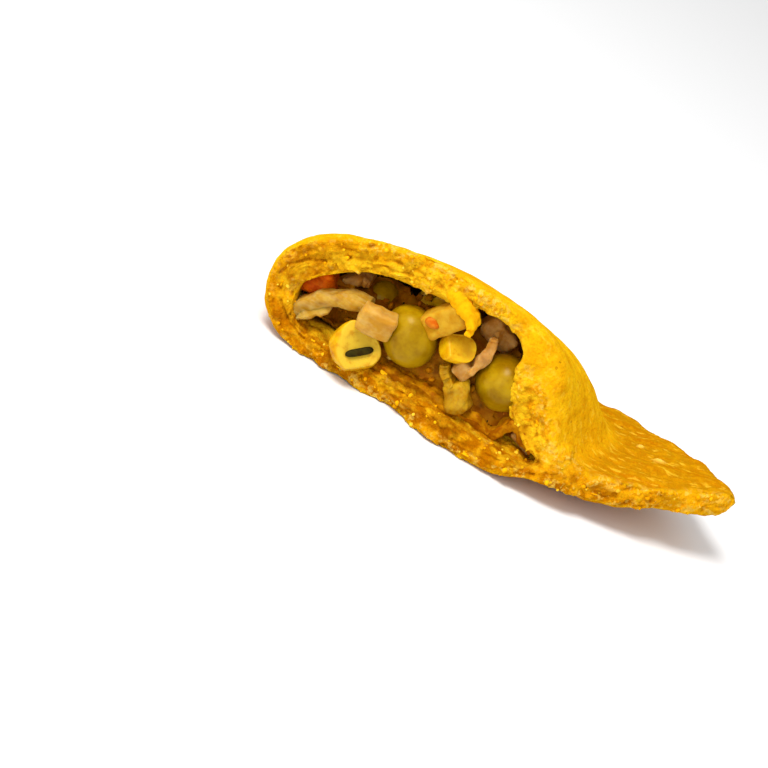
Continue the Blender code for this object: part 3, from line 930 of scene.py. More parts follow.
        # baked browning and painted shade together: browner below and at the fold, with dark scorch
        # patches
        fold = graph.step(across, *self.fold_from)
        folded = graph.math("MULTIPLY", fold, self.fold_share)
        lower = graph.math("MAXIMUM", graph.step(up, *self.low_from), folded)
        rough = graph.between(graph.patches(self.rough), self.rough_share)
        colour = graph.laid(colour, rough, lower, self.browned)
        scorched = graph.math("MULTIPLY", graph.patches(self.scorches), lower)
        colour = graph.laid(colour, scorched, self.scorches.share, self.shade_brown)
        edge = graph.step(layer, *self.edge_layer)
        colour = graph.laid(colour, edge, self.edge_share, self.skin_edge)
        # painted highlights: pale dabs near the skin, fading towards the fold
        faded = graph.between(fold, self.border_highlight_share)
        border = graph.math("MULTIPLY", graph.step(layer, *self.border_layer), faded)
        return graph.laid(colour, graph.patches(self.border_highlights), border, self.fleck)

    def material(self, effects: Effects) -> Material:
        """Build the material.

        Args:
            effects: The shared effects.

        Returns:
            The material.
        """
        graph = FoodRecipe("baked_pastry", effects)
        torn = graph.value("torn")
        colour = graph.mix(torn, self.skin(graph), self.torn(graph))
        inner = graph.dabbed(self.crumb, self.film, self.moist)
        # sauce stain and painted shade: darker deeper inside the mouth
        deep = graph.step(graph.axes()[1], *self.sauce_and_shade_from)
        inner = graph.laid(inner, deep, self.sauce_share, self.sauce_and_shade)
        colour = graph.mix(graph.value("inside"), colour, inner)
        rough = graph.between(torn, (0.0, self.torn_grain_share))
        rough = graph.math("MULTIPLY", graph.height(*self.torn_grain), rough)
        height = graph.math("ADD", graph.height(*self.skin_grain), rough)
        dull = graph.between(torn, (0.0, self.torn_dullness))
        sheen = graph.drift(self.sheen_scale, self.sheen)
        graph.set(Base_Color=colour, Roughness=graph.math("ADD", sheen, dull), Specular_IOR_Level=0.0)
        graph.set(Normal=graph.bump(height, self.bump, self.bump_height))
        graph.scatter(self.scatter, self.scatter_reach, self.scatter_scale)
        return graph.material


@dataclass(frozen=True)
class CrumbFinish:
    """Loose flakes and crumbs: yellow, orange or pale by the piece's own tint."""

    orange: Colour = paint(244, 168, 8)
    yellow: Colour = paint(253, 190, 18)
    pale: Colour = paint(255, 208, 56)
    browned: Colour = paint(208, 126, 2)
    yellow_from: Span = (0.15, 0.45)
    pale_from: Span = (0.62, 0.85)
    toast: Patches = Patches(0.9, 0.50, 0.72, 0.45)
    grain: Triple = (0.5, 0.16, 0.5)
    roughness: Span = (0.55, 0.75)
    bump: float = 0.6
    bump_height: float = 0.18
    scatter: float = 0.12
    scatter_reach: Triple = (1.0, 0.55, 0.15)
    scatter_scale: float = 0.001

    def material(self, effects: Effects) -> Material:
        """Build the material.

        Args:
            effects: The shared effects.

        Returns:
            The material.
        """
        graph = FoodRecipe("pastry_crumb", effects)
        tint = graph.value("tint")
        colour = graph.mix(graph.step(tint, *self.yellow_from), self.orange, self.yellow)
        colour = graph.mix(graph.step(tint, *self.pale_from), colour, self.pale)
        toast = graph.patches(self.toast)
        colour = graph.laid(colour, toast, self.toast.share, self.browned)
        graph.set(Base_Color=colour, Roughness=graph.between(toast, self.roughness))
        graph.set(Normal=graph.bump(graph.height(*self.grain), self.bump, self.bump_height))
        graph.set(Specular_IOR_Level=0.0)
        graph.scatter(self.scatter, self.scatter_reach, self.scatter_scale)
        return graph.material


@dataclass(frozen=True)
class Flesh:
    """Cooked vegetable: two mottled colours, a film of sauce, veins or fibres, a wet gloss, and painted
    shade over it all.
    """

    name: str
    main: Colour
    second: Colour
    sauce: Colour = paint(150, 84, 10)
    patch: float = 2.6
    patch_fade: Span = (0.36, 0.64)
    sauce_share: float = 0.35
    sauce_size: float = 2.2
    sauce_fade: Span = (0.46, 0.72)
    fibre_scale: Triple = (0.25, 0.25, 2.2)
    fibre_share: float = 0.0
    fibre_fade: Span = (0.42, 0.62)
    fibre_height: float = 0.8
    fibre_colour: Colour = paint(240, 215, 150)
    flecks_shown: float = 0.0
    fleck: Colour = paint(60, 45, 18)
    roughness: float = 0.42
    sauce_polish: float = 0.10
    gloss: float = 0.05
    gloss_roughness: float = 0.22
    shine: float = 0.12
    glow: Colour = paint(255, 226, 150)
    scatter: float = 0.30
    scatter_reach: Triple = (1.0, 0.6, 0.14)
    scatter_scale: float = 0.0014
    grain: float = 0.8
    bump: float = 0.30
    bump_height: float = 0.2
    tipped: bool = False
    tip: Colour = paint(255, 210, 58)
    tip_from: Span = (0.55, 0.05)
    # painted shade: the whole colour is multiplied by this, standing for the shade on the filling
    # inside the mouth
    shade: float = 0.80

    def material(self, effects: Effects) -> Material:
        """Build the material.

        Args:
            effects: The shared effects.

        Returns:
            The material.
        """
        graph = FoodRecipe(self.name, effects)
        colour = graph.dabbed(self.main, Patches(self.patch, *self.patch_fade), self.second)
        height = graph.height(self.grain, 0.25, 0.4)
        if self.tipped:
            colour = graph.mix(graph.step(graph.value("crown"), *self.tip_from), colour, self.tip)
        if self.fibre_share > 0.0:
            lines = graph.stretched(graph.place, self.fibre_scale)
            low, high = self.fibre_fade
            fibre = graph.effect(effects.fibre, Vector=lines, Count=1.0, Low=low, High=high)
            colour = graph.laid(colour, fibre, self.fibre_share, self.fibre_colour)
            height = graph.math("ADD", height, graph.math("MULTIPLY", fibre, self.fibre_height))
        if self.flecks_shown > 0.0:
            dots = Flecks(1.3, 0.16, self.flecks_shown, 0.8)
            colour = graph.laid(colour, graph.flecks(dots), dots.share, self.fleck)
        film = graph.patches(Patches(self.sauce_size, *self.sauce_fade))
        colour = graph.laid(colour, film, self.sauce_share, self.sauce)
        # painted shade: darken the whole colour for the shade inside the mouth
        colour = graph.mix(1.0, colour, (self.shade, self.shade, self.shade, 1.0), "MULTIPLY")
        worn = graph.between(film, (self.roughness, self.roughness - self.sauce_polish))
        graph.set(Base_Color=colour, Roughness=worn)
        graph.set(Normal=graph.bump(height, self.bump, self.bump_height))
        graph.set(Coat_Weight=self.gloss, Coat_Roughness=self.gloss_roughness)
        graph.set(Specular_IOR_Level=self.shine, Specular_Tint=self.glow)
        graph.scatter(self.scatter, self.scatter_reach, self.scatter_scale)
        return graph.material


class Vegetable(Enum):
    """The finishes of the filling's pieces."""

    PEA = Flesh("pea_skin", paint(198, 156, 8), paint(170, 126, 0), paint(122, 74, 0),
                patch=3.2, sauce_share=0.45, sauce_size=3.4, roughness=0.36, gloss=0.10, bump=0.16)
    CORN = Flesh("corn_kernel", paint(255, 200, 12), paint(242, 172, 4), paint(214, 128, 0),
                 patch=1.6, sauce_share=0.60, sauce_size=1.3, roughness=0.34, gloss=0.10,
                 bump=0.30, tipped=True, shade=0.76)
    ONION = Flesh("onion_peach", paint(246, 192, 84), paint(230, 164, 46), paint(200, 118, 14),
                  patch=2.0, sauce_share=0.40, fibre_share=0.14, fibre_scale=(0.25, 0.4, 1.1),
                  scatter=0.45, scatter_scale=0.002, shade=0.70)
    ONION_GREEN = Flesh("onion_green", paint(226, 182, 76), paint(208, 152, 34),
                        paint(170, 106, 12), patch=1.8, sauce_share=0.55, sauce_size=1.6,
                        fibre_share=0.20, fibre_scale=(0.2, 0.9, 1.2), scatter=0.45,
                        scatter_scale=0.002, shade=0.74)
    ONION_PINK = Flesh("onion_pink", paint(230, 174, 92), paint(208, 140, 46),
                       paint(156, 88, 12), patch=1.8, sauce_share=0.45, fibre_share=0.16,
                       fibre_scale=(1.2, 0.3, 0.3), scatter=0.40, scatter_scale=0.002)
    ROOT = Flesh("root_chunk", paint(248, 192, 50), paint(234, 162, 20), paint(212, 128, 4),
                 patch=1.8, sauce_share=0.45, sauce_size=1.4, roughness=0.48, gloss=0.0, bump=0.40,
                 shade=0.67)
    CARROT = Flesh("carrot", paint(214, 92, 0), paint(180, 64, 0), paint(136, 50, 0),
                   patch=1.5, sauce_share=0.50, fibre_share=0.25, fibre_colour=paint(232, 128, 10),
                   gloss=0.0, bump=0.45, shade=0.95)
    PEPPER = Flesh("red_pepper", paint(238, 140, 34), paint(226, 106, 12), paint(196, 110, 12),
                   patch=0.9, sauce_share=0.35, gloss=0.0, shade=0.75)
    CABBAGE = Flesh("cabbage", paint(232, 178, 28), paint(206, 142, 8), paint(170, 98, 0),
                    patch=1.6, sauce_share=0.50, fibre_share=0.22, fibre_scale=(1.1, 0.4, 0.9),
                    fibre_colour=paint(236, 200, 70), bump=0.45, shade=0.68)
    MASH = Flesh("sauce_and_mash", paint(164, 90, 2), paint(190, 122, 8), paint(88, 40, 0),
                 patch=2.0, sauce_share=0.80, sauce_size=2.6, flecks_shown=0.06,
                 roughness=0.50, gloss=0.0, scatter=0.10, grain=0.9, bump=0.50)
    BED = Flesh("crumb_bed", paint(220, 146, 4), paint(182, 102, 0), paint(136, 70, 0),
                patch=1.4, sauce_share=0.60, sauce_size=1.8, roughness=0.60, gloss=0.0,
                scatter=0.15, grain=0.7, bump=0.60)
    HERB = Flesh("herb", paint(58, 50, 14), paint(34, 28, 8), paint(80, 50, 6),
                 patch=0.8, sauce_share=0.3, roughness=0.60, gloss=0.0, scatter=0.0, bump=0.5)


class Pantry:
    """Keeps each finish's material, built when it is first asked for."""

    def __init__(self, effects: Effects) -> None:
        """Start with no material."""
        self.effects = effects
        self.ready: Dict[str, Material] = {}

    def get(self, finish: Any) -> Material:
        """The material of a finish.

        Args:
            finish: A finish, or a member of Vegetable.

        Returns:
            Its material.
        """
        recipe = finish.value if isinstance(finish, Vegetable) else finish
        key = getattr(recipe, "name", type(recipe).__name__)
        if key not in self.ready:
            self.ready[key] = recipe.material(self.effects)
        return self.ready[key]


@dataclass
class Station:
    """What every sub-assembly works with: the tear frame and the materials."""

    tear: TearFrame
    pantry: Pantry

    def pastry(self, piece: Piece, finish: Any) -> Piece:
        """Dress a finished piece of the crust."""
        return dress(piece, self.pantry.get(finish))

    def vegetable(self, piece: Piece, finish: Vegetable) -> Piece:
        """Dress a finished piece of the filling."""
        return dress(piece, self.pantry.get(finish))


@dataclass(frozen=True)
class Blister:
    """A raised bubble on the skin."""

    across: float
    depth: float
    radius: float
    height: float


@dataclass(frozen=True)
class SoftSpot:
    """A place on the mouth, in millimetres across and up, around which something is shifted."""

    across: float
    high: float
    reach: float
    shift: Triple

    def share(self, across: Array, high: Array) -> Array:
        """1 in its middle, fading to 0 around it."""
        away = np.hypot(across - self.across, high - self.high) / self.reach
        return np.exp(-away ** 2)


@dataclass(frozen=True)
class TornSpot:
    """A place on the torn face where a flake or crumb can sit."""

    point: Vector
    layer_side: Vector


@dataclass
class Crust(Station):
    """The pastry shell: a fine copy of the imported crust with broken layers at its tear.

    Lengths are in millimetres. A span holds the two values between which something fades in.
    """

    voxel: float = 0.635
    soften_turns: int = 5
    fine_cuts: int = 3
    fine_rings: int = 2
    fine_level: float = 0.16
    far: float = 9.0
    wall_gap: float = 0.5
    wall_reach: float = 60.0
    search_depth: float = 20.0
    torn_facing: float = -0.45
    torn_margin: float = 3.6
    lip_across: Span = (5.0, 59.0)
    lip_depth: float = 2.5
    floor_top: float = 9.0
    roof_across: Span = (9.0, 56.0)
    roof_foot: float = 8.5
    base_top: float = 5.0
    flange_tear_start: float = 60.0
    flange_tear_run: float = 23.0
    flange_tear_depth: float = 11.0
    rim_reach: float = 84.1
    rim_length: float = 54.9
    rim_power: float = 2.08
    rim_fade: Span = (-1.5, 3.0)
    flange_width: float = 11.6
    flange_extra: float = 16.7
    flange_extra_run: float = 20.2
    foot_shift: float = 0.5
    foot_width: float = 5.5
    foot_turns: int = 70
    floor_lift: float = 1.3
    floor_depth: Span = (8.0, 2.5)
    floor_from: Span = (7.0, 12.0)
    floor_to: Span = (52.0, 46.0)
    turned_from: float = 28.0
    turned_edge: float = 3.2
    turned_run: float = 12.0
    turned_share: float = 0.72
    side_from: Span = (32.0, 42.0)
    side_to: Span = (55.0, 62.0)
    side_drop: float = 0.85
    pulls: Sequence[SoftSpot] = (
        SoftSpot(43.0, 18.8, 6.0, (-2.5, 0.0, -2.4)), SoftSpot(46.0, 11.5, 4.5, (-1.9, 0.0, -0.9)),
    )
    pull_depth: Span = (10.0, 3.0)
    pull_edge: Span = (0.5, 3.0)
    layer_pitch: float = 1.6
    layer_drift: Lumps = Lumps(0.8, (3.0, 3.0, 2.2), 4.0)
    layer_warp: Lumps = Lumps(0.25, (1.6, 1.6, 1.4), 14.0)
    ridges: Lumps = Lumps(0.42, (2.6, 1.6, 2.6), 5.0)
    ridge_squeeze: float = 2.6
    groove_depth: float = 0.16
    grains: Grains = Grains(0.40, 1.3, 0.35, 3.0)
    small_grains: Grains = Grains(0.24, 0.65, 0.3, 8.0)
    crumbly: Lumps = Lumps(1.0, (5.0, 5.0, 2.2), 21.0)
    crumbly_from: Span = (-0.25, 0.30)
    coarse: Lumps = Lumps(0.60, (4.2, 4.2, 2.4), 31.0)
    fine: Lumps = Lumps(0.10, even(0.5), 41.0)
    pit_depth: float = 0.55
    pits: Grains = Grains(1.0, 1.9, 0.0, 17.0)
    pits_from: Span = (0.35, 0.75)
    pitted: Lumps = Lumps(1.0, (5.0, 5.0, 2.0), 27.0)
    pitted_from: Span = (0.0, 0.3)
    cracks: Sequence[Sequence[Span]] = (
        ((1.6, 9.6), (2.6, 12.4), (4.6, 14.2), (7.0, 15.3)),
        ((12.0, 18.2), (16.0, 19.8), (20.0, 20.8)),
        ((30.0, 22.2), (34.0, 21.6), (37.5, 20.4)),
        ((4.0, 5.6), (6.5, 3.6), (10.0, 2.6)),
    )
    crack_width: float = 0.22
    crack_depth: float = 0.45
    ragged: float = 0.75
    ragged_across: Lumps = Lumps(1.0, even(1.7), 111.0)
    ragged_up: Lumps = Lumps(1.0, even(1.7), 121.0)
    ragged_from: Span = (0.40, 0.85)
    wrinkles: Sequence[Lumps] = (
        Lumps(0.16, (9.0, 2.2, 9.0), 51.0), Lumps(0.10, even(2.2), 61.0), Lumps(0.50, even(13.0), 91.0),
        Lumps(0.14, even(4.5), 95.0),
    )
    fan_count: float = 74.0
    fan_height: float = 0.16
    fan_sway: Lumps = Lumps(2.0, even(9.0), 71.0)
    flange_bumps: Lumps = Lumps(0.30, even(3.4), 81.0)
    blisters: Sequence[Blister] = (
        Blister(65.7, 22.6, 0.70, 0.35), Blister(69.1, 17.7, 1.10, 0.50),
        Blister(55.0, 42.0, 0.70, 0.25),
    )
    blister_top: Span = (0.2, 0.9)
    torn_fade: Span = (0.02, 0.55)
    outward_share: float = 0.65
    lip_share: float = 0.6
    base_skin: float = 0.25
    base_limit: float = 0.3
    spot_step: int = 7
    skin_tree: Optional[BVHTree] = None
    upper_tree: Optional[BVHTree] = None
    wall_tree: Optional[BVHTree] = None
    spots: List[TornSpot] = field(default_factory=list)

    def torn_back(self, across: Array) -> Array:
        """How far the flange is torn back at a place across."""
        out = np.maximum(across - self.flange_tear_start, 0.0) / self.flange_tear_run
        return self.flange_tear_depth * out ** 1.2

    def foot(self, deep: Array) -> Array:
        """Where the dome meets the flange.

        Args:
            deep: Millimetres in from the tear.

        Returns:
            Millimetres across.
        """
        deep = np.clip(deep, 0.0, self.rim_length)
        bend = 1.0 - (deep / self.rim_length) ** self.rim_power
        rim = self.rim_reach * np.sqrt(np.maximum(0.0, bend))
        extra = self.flange_extra * np.exp(-(deep / self.flange_extra_run) ** 1.8)
        return rim - self.flange_width - extra

    def rim_share(self, local: Array) -> Array:
        """1 on the flange, 0 on the dome."""
        return ease(local[:, 0] - self.foot(local[:, 1]), *self.rim_fade)

    def side_share(self, across: Array) -> Array:
        """1 at the right of the mouth, where the skin turns in, 0 at its left and on the flange."""
        return ease(across, *self.side_from) * (1.0 - self.side_drop * ease(across, *self.side_to))

    def turn_in(self, shell: Piece) -> None:
        """Round the tear's right border, where the skin turns in, and draw the mouth's edge with it.

        Args:
            shell: The coarse shell, surveyed.
        """
        points = points_of(shell)
        across, deep, high = self.tear.local(points).T
        border = np.full(len(points), self.far)
        for at in np.nonzero((deep < self.turned_run) & (across > self.turned_from))[0]:
            border[at] = self.upper_tree.find_nearest(Vector(points[at]))[3] / MM
        near = 1.0 - np.clip(border / self.turned_edge, 0.0, 1.0)
        back = self.turned_edge * (1.0 - np.sqrt(1.0 - near ** 2)) * self.side_share(across)
        points[:, 1] += back * np.clip(1.0 - deep / self.turned_run, 0.0, 1.0) * MM
        for pull in self.pulls:
            weight = pull.share(across, high) * ease(deep, *self.pull_depth)
            weight = weight * ease(border, *self.pull_edge)
            points[:, 0] += weight * pull.shift[0] * MM
            points[:, 2] += weight * pull.shift[2] * MM
        reshape(shell, points)
        mark(shell, "border", border)

    def survey(self, shell: Piece) -> None:
        """Mark the torn face, the hollow's wall, the base and the flange on the coarse shell.

        Args:
            shell: The coarse shell.
        """
        points = points_of(shell)
        normals = normals_of(shell)
        edges = edges_of(shell)
        across, deep, high = self.tear.local(points).T
        upward = normals[:, 2]
        tree = surface_of(shell)
        rays = zip(points + normals * self.wall_gap * MM, normals)
        walls = [tree.ray_cast(Vector(at), Vector(way), self.wall_reach * MM)[0] is not None
                 for at, way in rays]
        torn = (deep < self.torn_back(across) + self.torn_margin) & (normals[:, 1] < self.torn_facing)
        if "border" in shell.data.attributes:
            turned = self.turned_share * self.turned_edge * self.side_share(across)
            torn &= marked(shell, "border") > turned
        lip = (upward > 0.3) & (high < self.floor_top) & (deep < self.lip_depth)
        lip &= within(across, self.lip_across)
        roof = (upward < -0.2) & (high > self.roof_foot) & within(across, self.roof_across)
        inside = (np.array(walls) | roof) & ~torn & ~lip
        torn = (torn | lip) & ~inside
        base = (upward < -0.3) & (high < self.base_top) & ~inside & ~torn
        mark(shell, "torn", softened(torn.astype(float), edges, 2))
        mark(shell, "inside", softened(inside.astype(float), edges, 2))
        mark(shell, "base", softened(base.astype(float), edges, 6))
        mark(shell, "near_tear", softened(torn.astype(float), edges, self.fine_rings + 2))
        skin = ~torn & ~inside & (deep < self.search_depth)
        self.skin_tree = self.faces_tree(shell, skin)
        self.upper_tree = self.faces_tree(shell, skin & (upward > 0.0))
        self.wall_tree = self.faces_tree(shell, inside & (deep < self.search_depth))

    def round_foot(self, shell: Piece) -> None:
        """Round the line where the dome runs into the flange, and lift the floor at the mouth.

        Args:
            shell: The coarse shell, surveyed.
        """
        points = points_of(shell)
        upward = normals_of(shell)[:, 2]
        edges = edges_of(shell)
        across, deep, high = self.tear.local(points).T
        inside = marked(shell, "inside")
        outside = 1.0 - ease(inside + marked(shell, "torn"), 0.0, 0.5)
        away = (across - self.foot(deep) + self.foot_shift) / self.foot_width
        weight = np.exp(-away ** 2) * ease(upward, 0.05, 0.3)
        weight = softened(weight * outside * (deep > 0.5), edges, 4)
        soft = np.stack([softened(points[:, axis], edges, self.foot_turns) for axis in range(3)], 1)
        points = points + (soft - points) * weight[:, None]
        floor = inside * ease(upward, 0.2, 0.6) * (high < self.floor_top)
        swell = ease(deep, *self.floor_depth) * ease(across, *self.floor_from)
        swell = swell * ease(across, *self.floor_to)
        points[:, 2] += softened(floor * swell, edges, 6) * self.floor_lift * MM
        reshape(shell, points)

    def faces_tree(self, shell: Piece, kept: Array) -> BVHTree:
        """Search tree of the faces whose vertices are all kept."""
        places = [tuple(vertex.co) for vertex in shell.data.vertices]
        faces = [tuple(face.vertices) for face in shell.data.polygons]
        return BVHTree.FromPolygons(places, [face for face in faces if all(kept[at] for at in face)])

    def refine(self, shell: Piece) -> None:
        """Divide the faces at the tear finely.

        Args:
            shell: The shell, surveyed.
        """
        near = marked(shell, "near_tear") > self.fine_level
        for face in shell.data.polygons:
            face.select = any(near[at] for at in face.vertices)
        for part in (shell.data.vertices, shell.data.edges):
            part.foreach_set("select", np.zeros(len(part), dtype=bool))
        hold(shell)
        bpy.ops.object.mode_set(mode="EDIT")
        bpy.ops.mesh.select_mode(type="FACE")
        bpy.ops.mesh.subdivide(number_cuts=self.fine_cuts)
        bpy.ops.object.mode_set(mode="OBJECT")

    def crack_share(self, local: Array) -> Array:
        """How deep places lie in a crack between layers.

        Args:
            local: Places in millimetres.

        Returns:
            1 in the middle of a crack, 0 away from it.
        """
        flat = local[:, [0, 2]]
        nearest = np.full(len(flat), self.far)
        for crack in self.cracks:
            for start, end in zip(crack, crack[1:]):
                first = np.array(start)
                leg = np.array(end) - first
                share = np.clip((flat - first) @ leg / (leg @ leg), 0.0, 1.0)
                gap = np.linalg.norm(flat - first - share[:, None] * leg, axis=1)
                nearest = np.minimum(nearest, gap)
        return 1.0 - ease(nearest, 0.3 * self.crack_width, 1.6 * self.crack_width)

    def layered(self, local: Array, layer: Array) -> Array:
        """Relief of the torn face.

        Args:
            local: Places in millimetres.
            layer: Distance from the skin in millimetres.

        Returns:
            Height in millimetres.
        """
        section = np.stack([local[:, 0], local[:, 2], layer], 1)
        squeezed = np.stack([local[:, 0], self.ridge_squeeze * layer, local[:, 2]], 1)
        sheet = layer / self.layer_pitch + self.layer_drift.at(section) + self.layer_warp.at(section)
        groove = np.abs(2.0 * (sheet - np.floor(sheet)) - 1.0) ** 3
        flaky = self.ridges.at(squeezed) - self.groove_depth * groove
        grains = self.grains.at(local) + self.small_grains.at(local)
        pits = ease(self.pits.at(local), *self.pits_from)
        pits = pits * ease(self.pitted.at(section), *self.pitted_from)
        crumbly = ease(self.crumbly.at(section), *self.crumbly_from)
        relief = flaky * (1.0 - 0.4 * crumbly) + grains * (0.25 + 0.75 * crumbly)
        relief = relief + self.coarse.at(section) + self.fine.at(local)
        return relief - self.crack_depth * self.crack_share(local) - self.pit_depth * pits

    def skin_relief(self, local: Array, rim: Array) -> Array:
        """Wrinkles of the skin, with faint fanning ridges and bumps on the flange.

        Args:
            local: Places in millimetres.
            rim: 1 on the flange, 0 on the dome.

        Returns:
            Height in millimetres.
        """
        wrinkled = sum(part.at(local) for part in self.wrinkles)
        angle = np.arctan2(local[:, 1], local[:, 0])
        fan = np.sin(angle * self.fan_count + self.fan_sway.at(local))
        return wrinkled + rim * (self.fan_height * fan + self.flange_bumps.at(local))

    def blister_share(self, local: Array, normals: Array) -> Tuple[Array, Array]:
        """The blisters on the upper side.

        Args:
            local: Places in millimetres.
            normals: Their normals.

        Returns:
            Height in millimetres, and where the tops are paler, from 0 to 1.
        """
        height = np.zeros(len(local))
        tops = np.zeros(len(local))
        up = normals[:, 2] > 0.1
        for blister in self.blisters:
            away = np.hypot(local[:, 0] - blister.across, local[:, 1] - blister.depth) / blister.radius
            dome = np.sqrt(np.maximum(0.0, 1.0 - away ** 2)) * up
            height += blister.height * dome
            tops = np.maximum(tops, ease(dome, *self.blister_top))
        return height, tops

    def relieve(self, shell: Piece) -> None:
        """Move the vertices to their broken layers, wrinkles and blisters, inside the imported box.

        Args:
            shell: The refined shell.
        """
        points = points_of(shell)
        normals = normals_of(shell)
        local = self.tear.local(points)
        weight = ease(marked(shell, "near_tear"), *self.torn_fade)
        busy = np.nonzero(weight > 0.0)[0]
        layer = np.full(len(points), self.far)
        share = np.zeros(len(points))
        for at in busy:
            spot = Vector(points[at])
            skin = self.skin_tree.find_nearest(spot)[3] / MM
            wall = self.wall_tree.find_nearest(spot)[3] / MM
            layer[at] = skin
            share[at] = skin / (skin + wall + 1e-6)
        relief = np.zeros(len(points))
        relief[busy] = self.layered(local[busy], layer[busy])
        rim = self.rim_share(local)
        height, tops = self.blister_share(local, normals)
        outside = 1.0 - marked(shell, "inside")
        skin = self.skin_relief(local, rim) * outside * (1.0 - weight) + height
        facing = np.array(OUTWARDS) * self.outward_share + normals * (1.0 - self.outward_share)
        lip = ease(normals[:, 2], 0.3, 0.7)[:, None]
        facing = facing * (1.0 - lip) + normals * lip * self.lip_share
        moved = points + (facing * (relief * weight)[:, None] + normals * skin[:, None]) * MM
        sway = (weight * (0.25 + 0.75 * ease(share, *self.ragged_from)))[busy] * self.ragged * MM
        moved[busy, 0] += sway * self.ragged_across.at(local[busy])
        moved[busy, 2] += sway * self.ragged_up.at(local[busy])
        low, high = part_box("crust")
        moved = np.clip(moved, np.array(low), np.array(high))
        flat = np.minimum(moved[:, 2], self.base_limit * MM)
        moved[:, 2] = np.where(local[:, 2] < self.base_skin, flat, moved[:, 2])
        reshape(shell, moved)
        for name, values in (("layer", layer), ("share", share), ("relief", relief), ("rim", rim),
                             ("blister", tops)):
            mark(shell, name, values)

    def note_spots(self, shell: Piece) -> None:
        """Keep the places on the torn face where loose flakes and crumbs can sit.

        Args:
            shell: The finished shell.
        """
        points = points_of(shell)
        layer = marked(shell, "layer")
        chosen = np.nonzero((marked(shell, "torn") > 0.85) & within(layer, (0.25, 8.0)))[0]
        for at in chosen[::self.spot_step]:
            spot = Vector(points[at])
            side = self.skin_tree.find_nearest(spot)[1]
            side = Vector((side.x, 0.0, side.z))
            if side.length > 0.2:
                self.spots.append(TornSpot(spot, side.normalized()))

    def build(self) -> Piece:
        """Make the crust.

        Returns:
            The finished shell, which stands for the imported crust.
        """
        shell = copied_node("crust", "crust_shell")
        modify(shell, "REMESH", mode="VOXEL", voxel_size=self.voxel * MM)
        modify(shell, "SMOOTH", factor=0.5, iterations=self.soften_turns)
        self.survey(shell)
        self.turn_in(shell)
        self.survey(shell)
        self.round_foot(shell)
        self.refine(shell)
        self.relieve(shell)
        self.note_spots(shell)
        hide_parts("crust")
        return self.pastry(shell, PastryFinish())


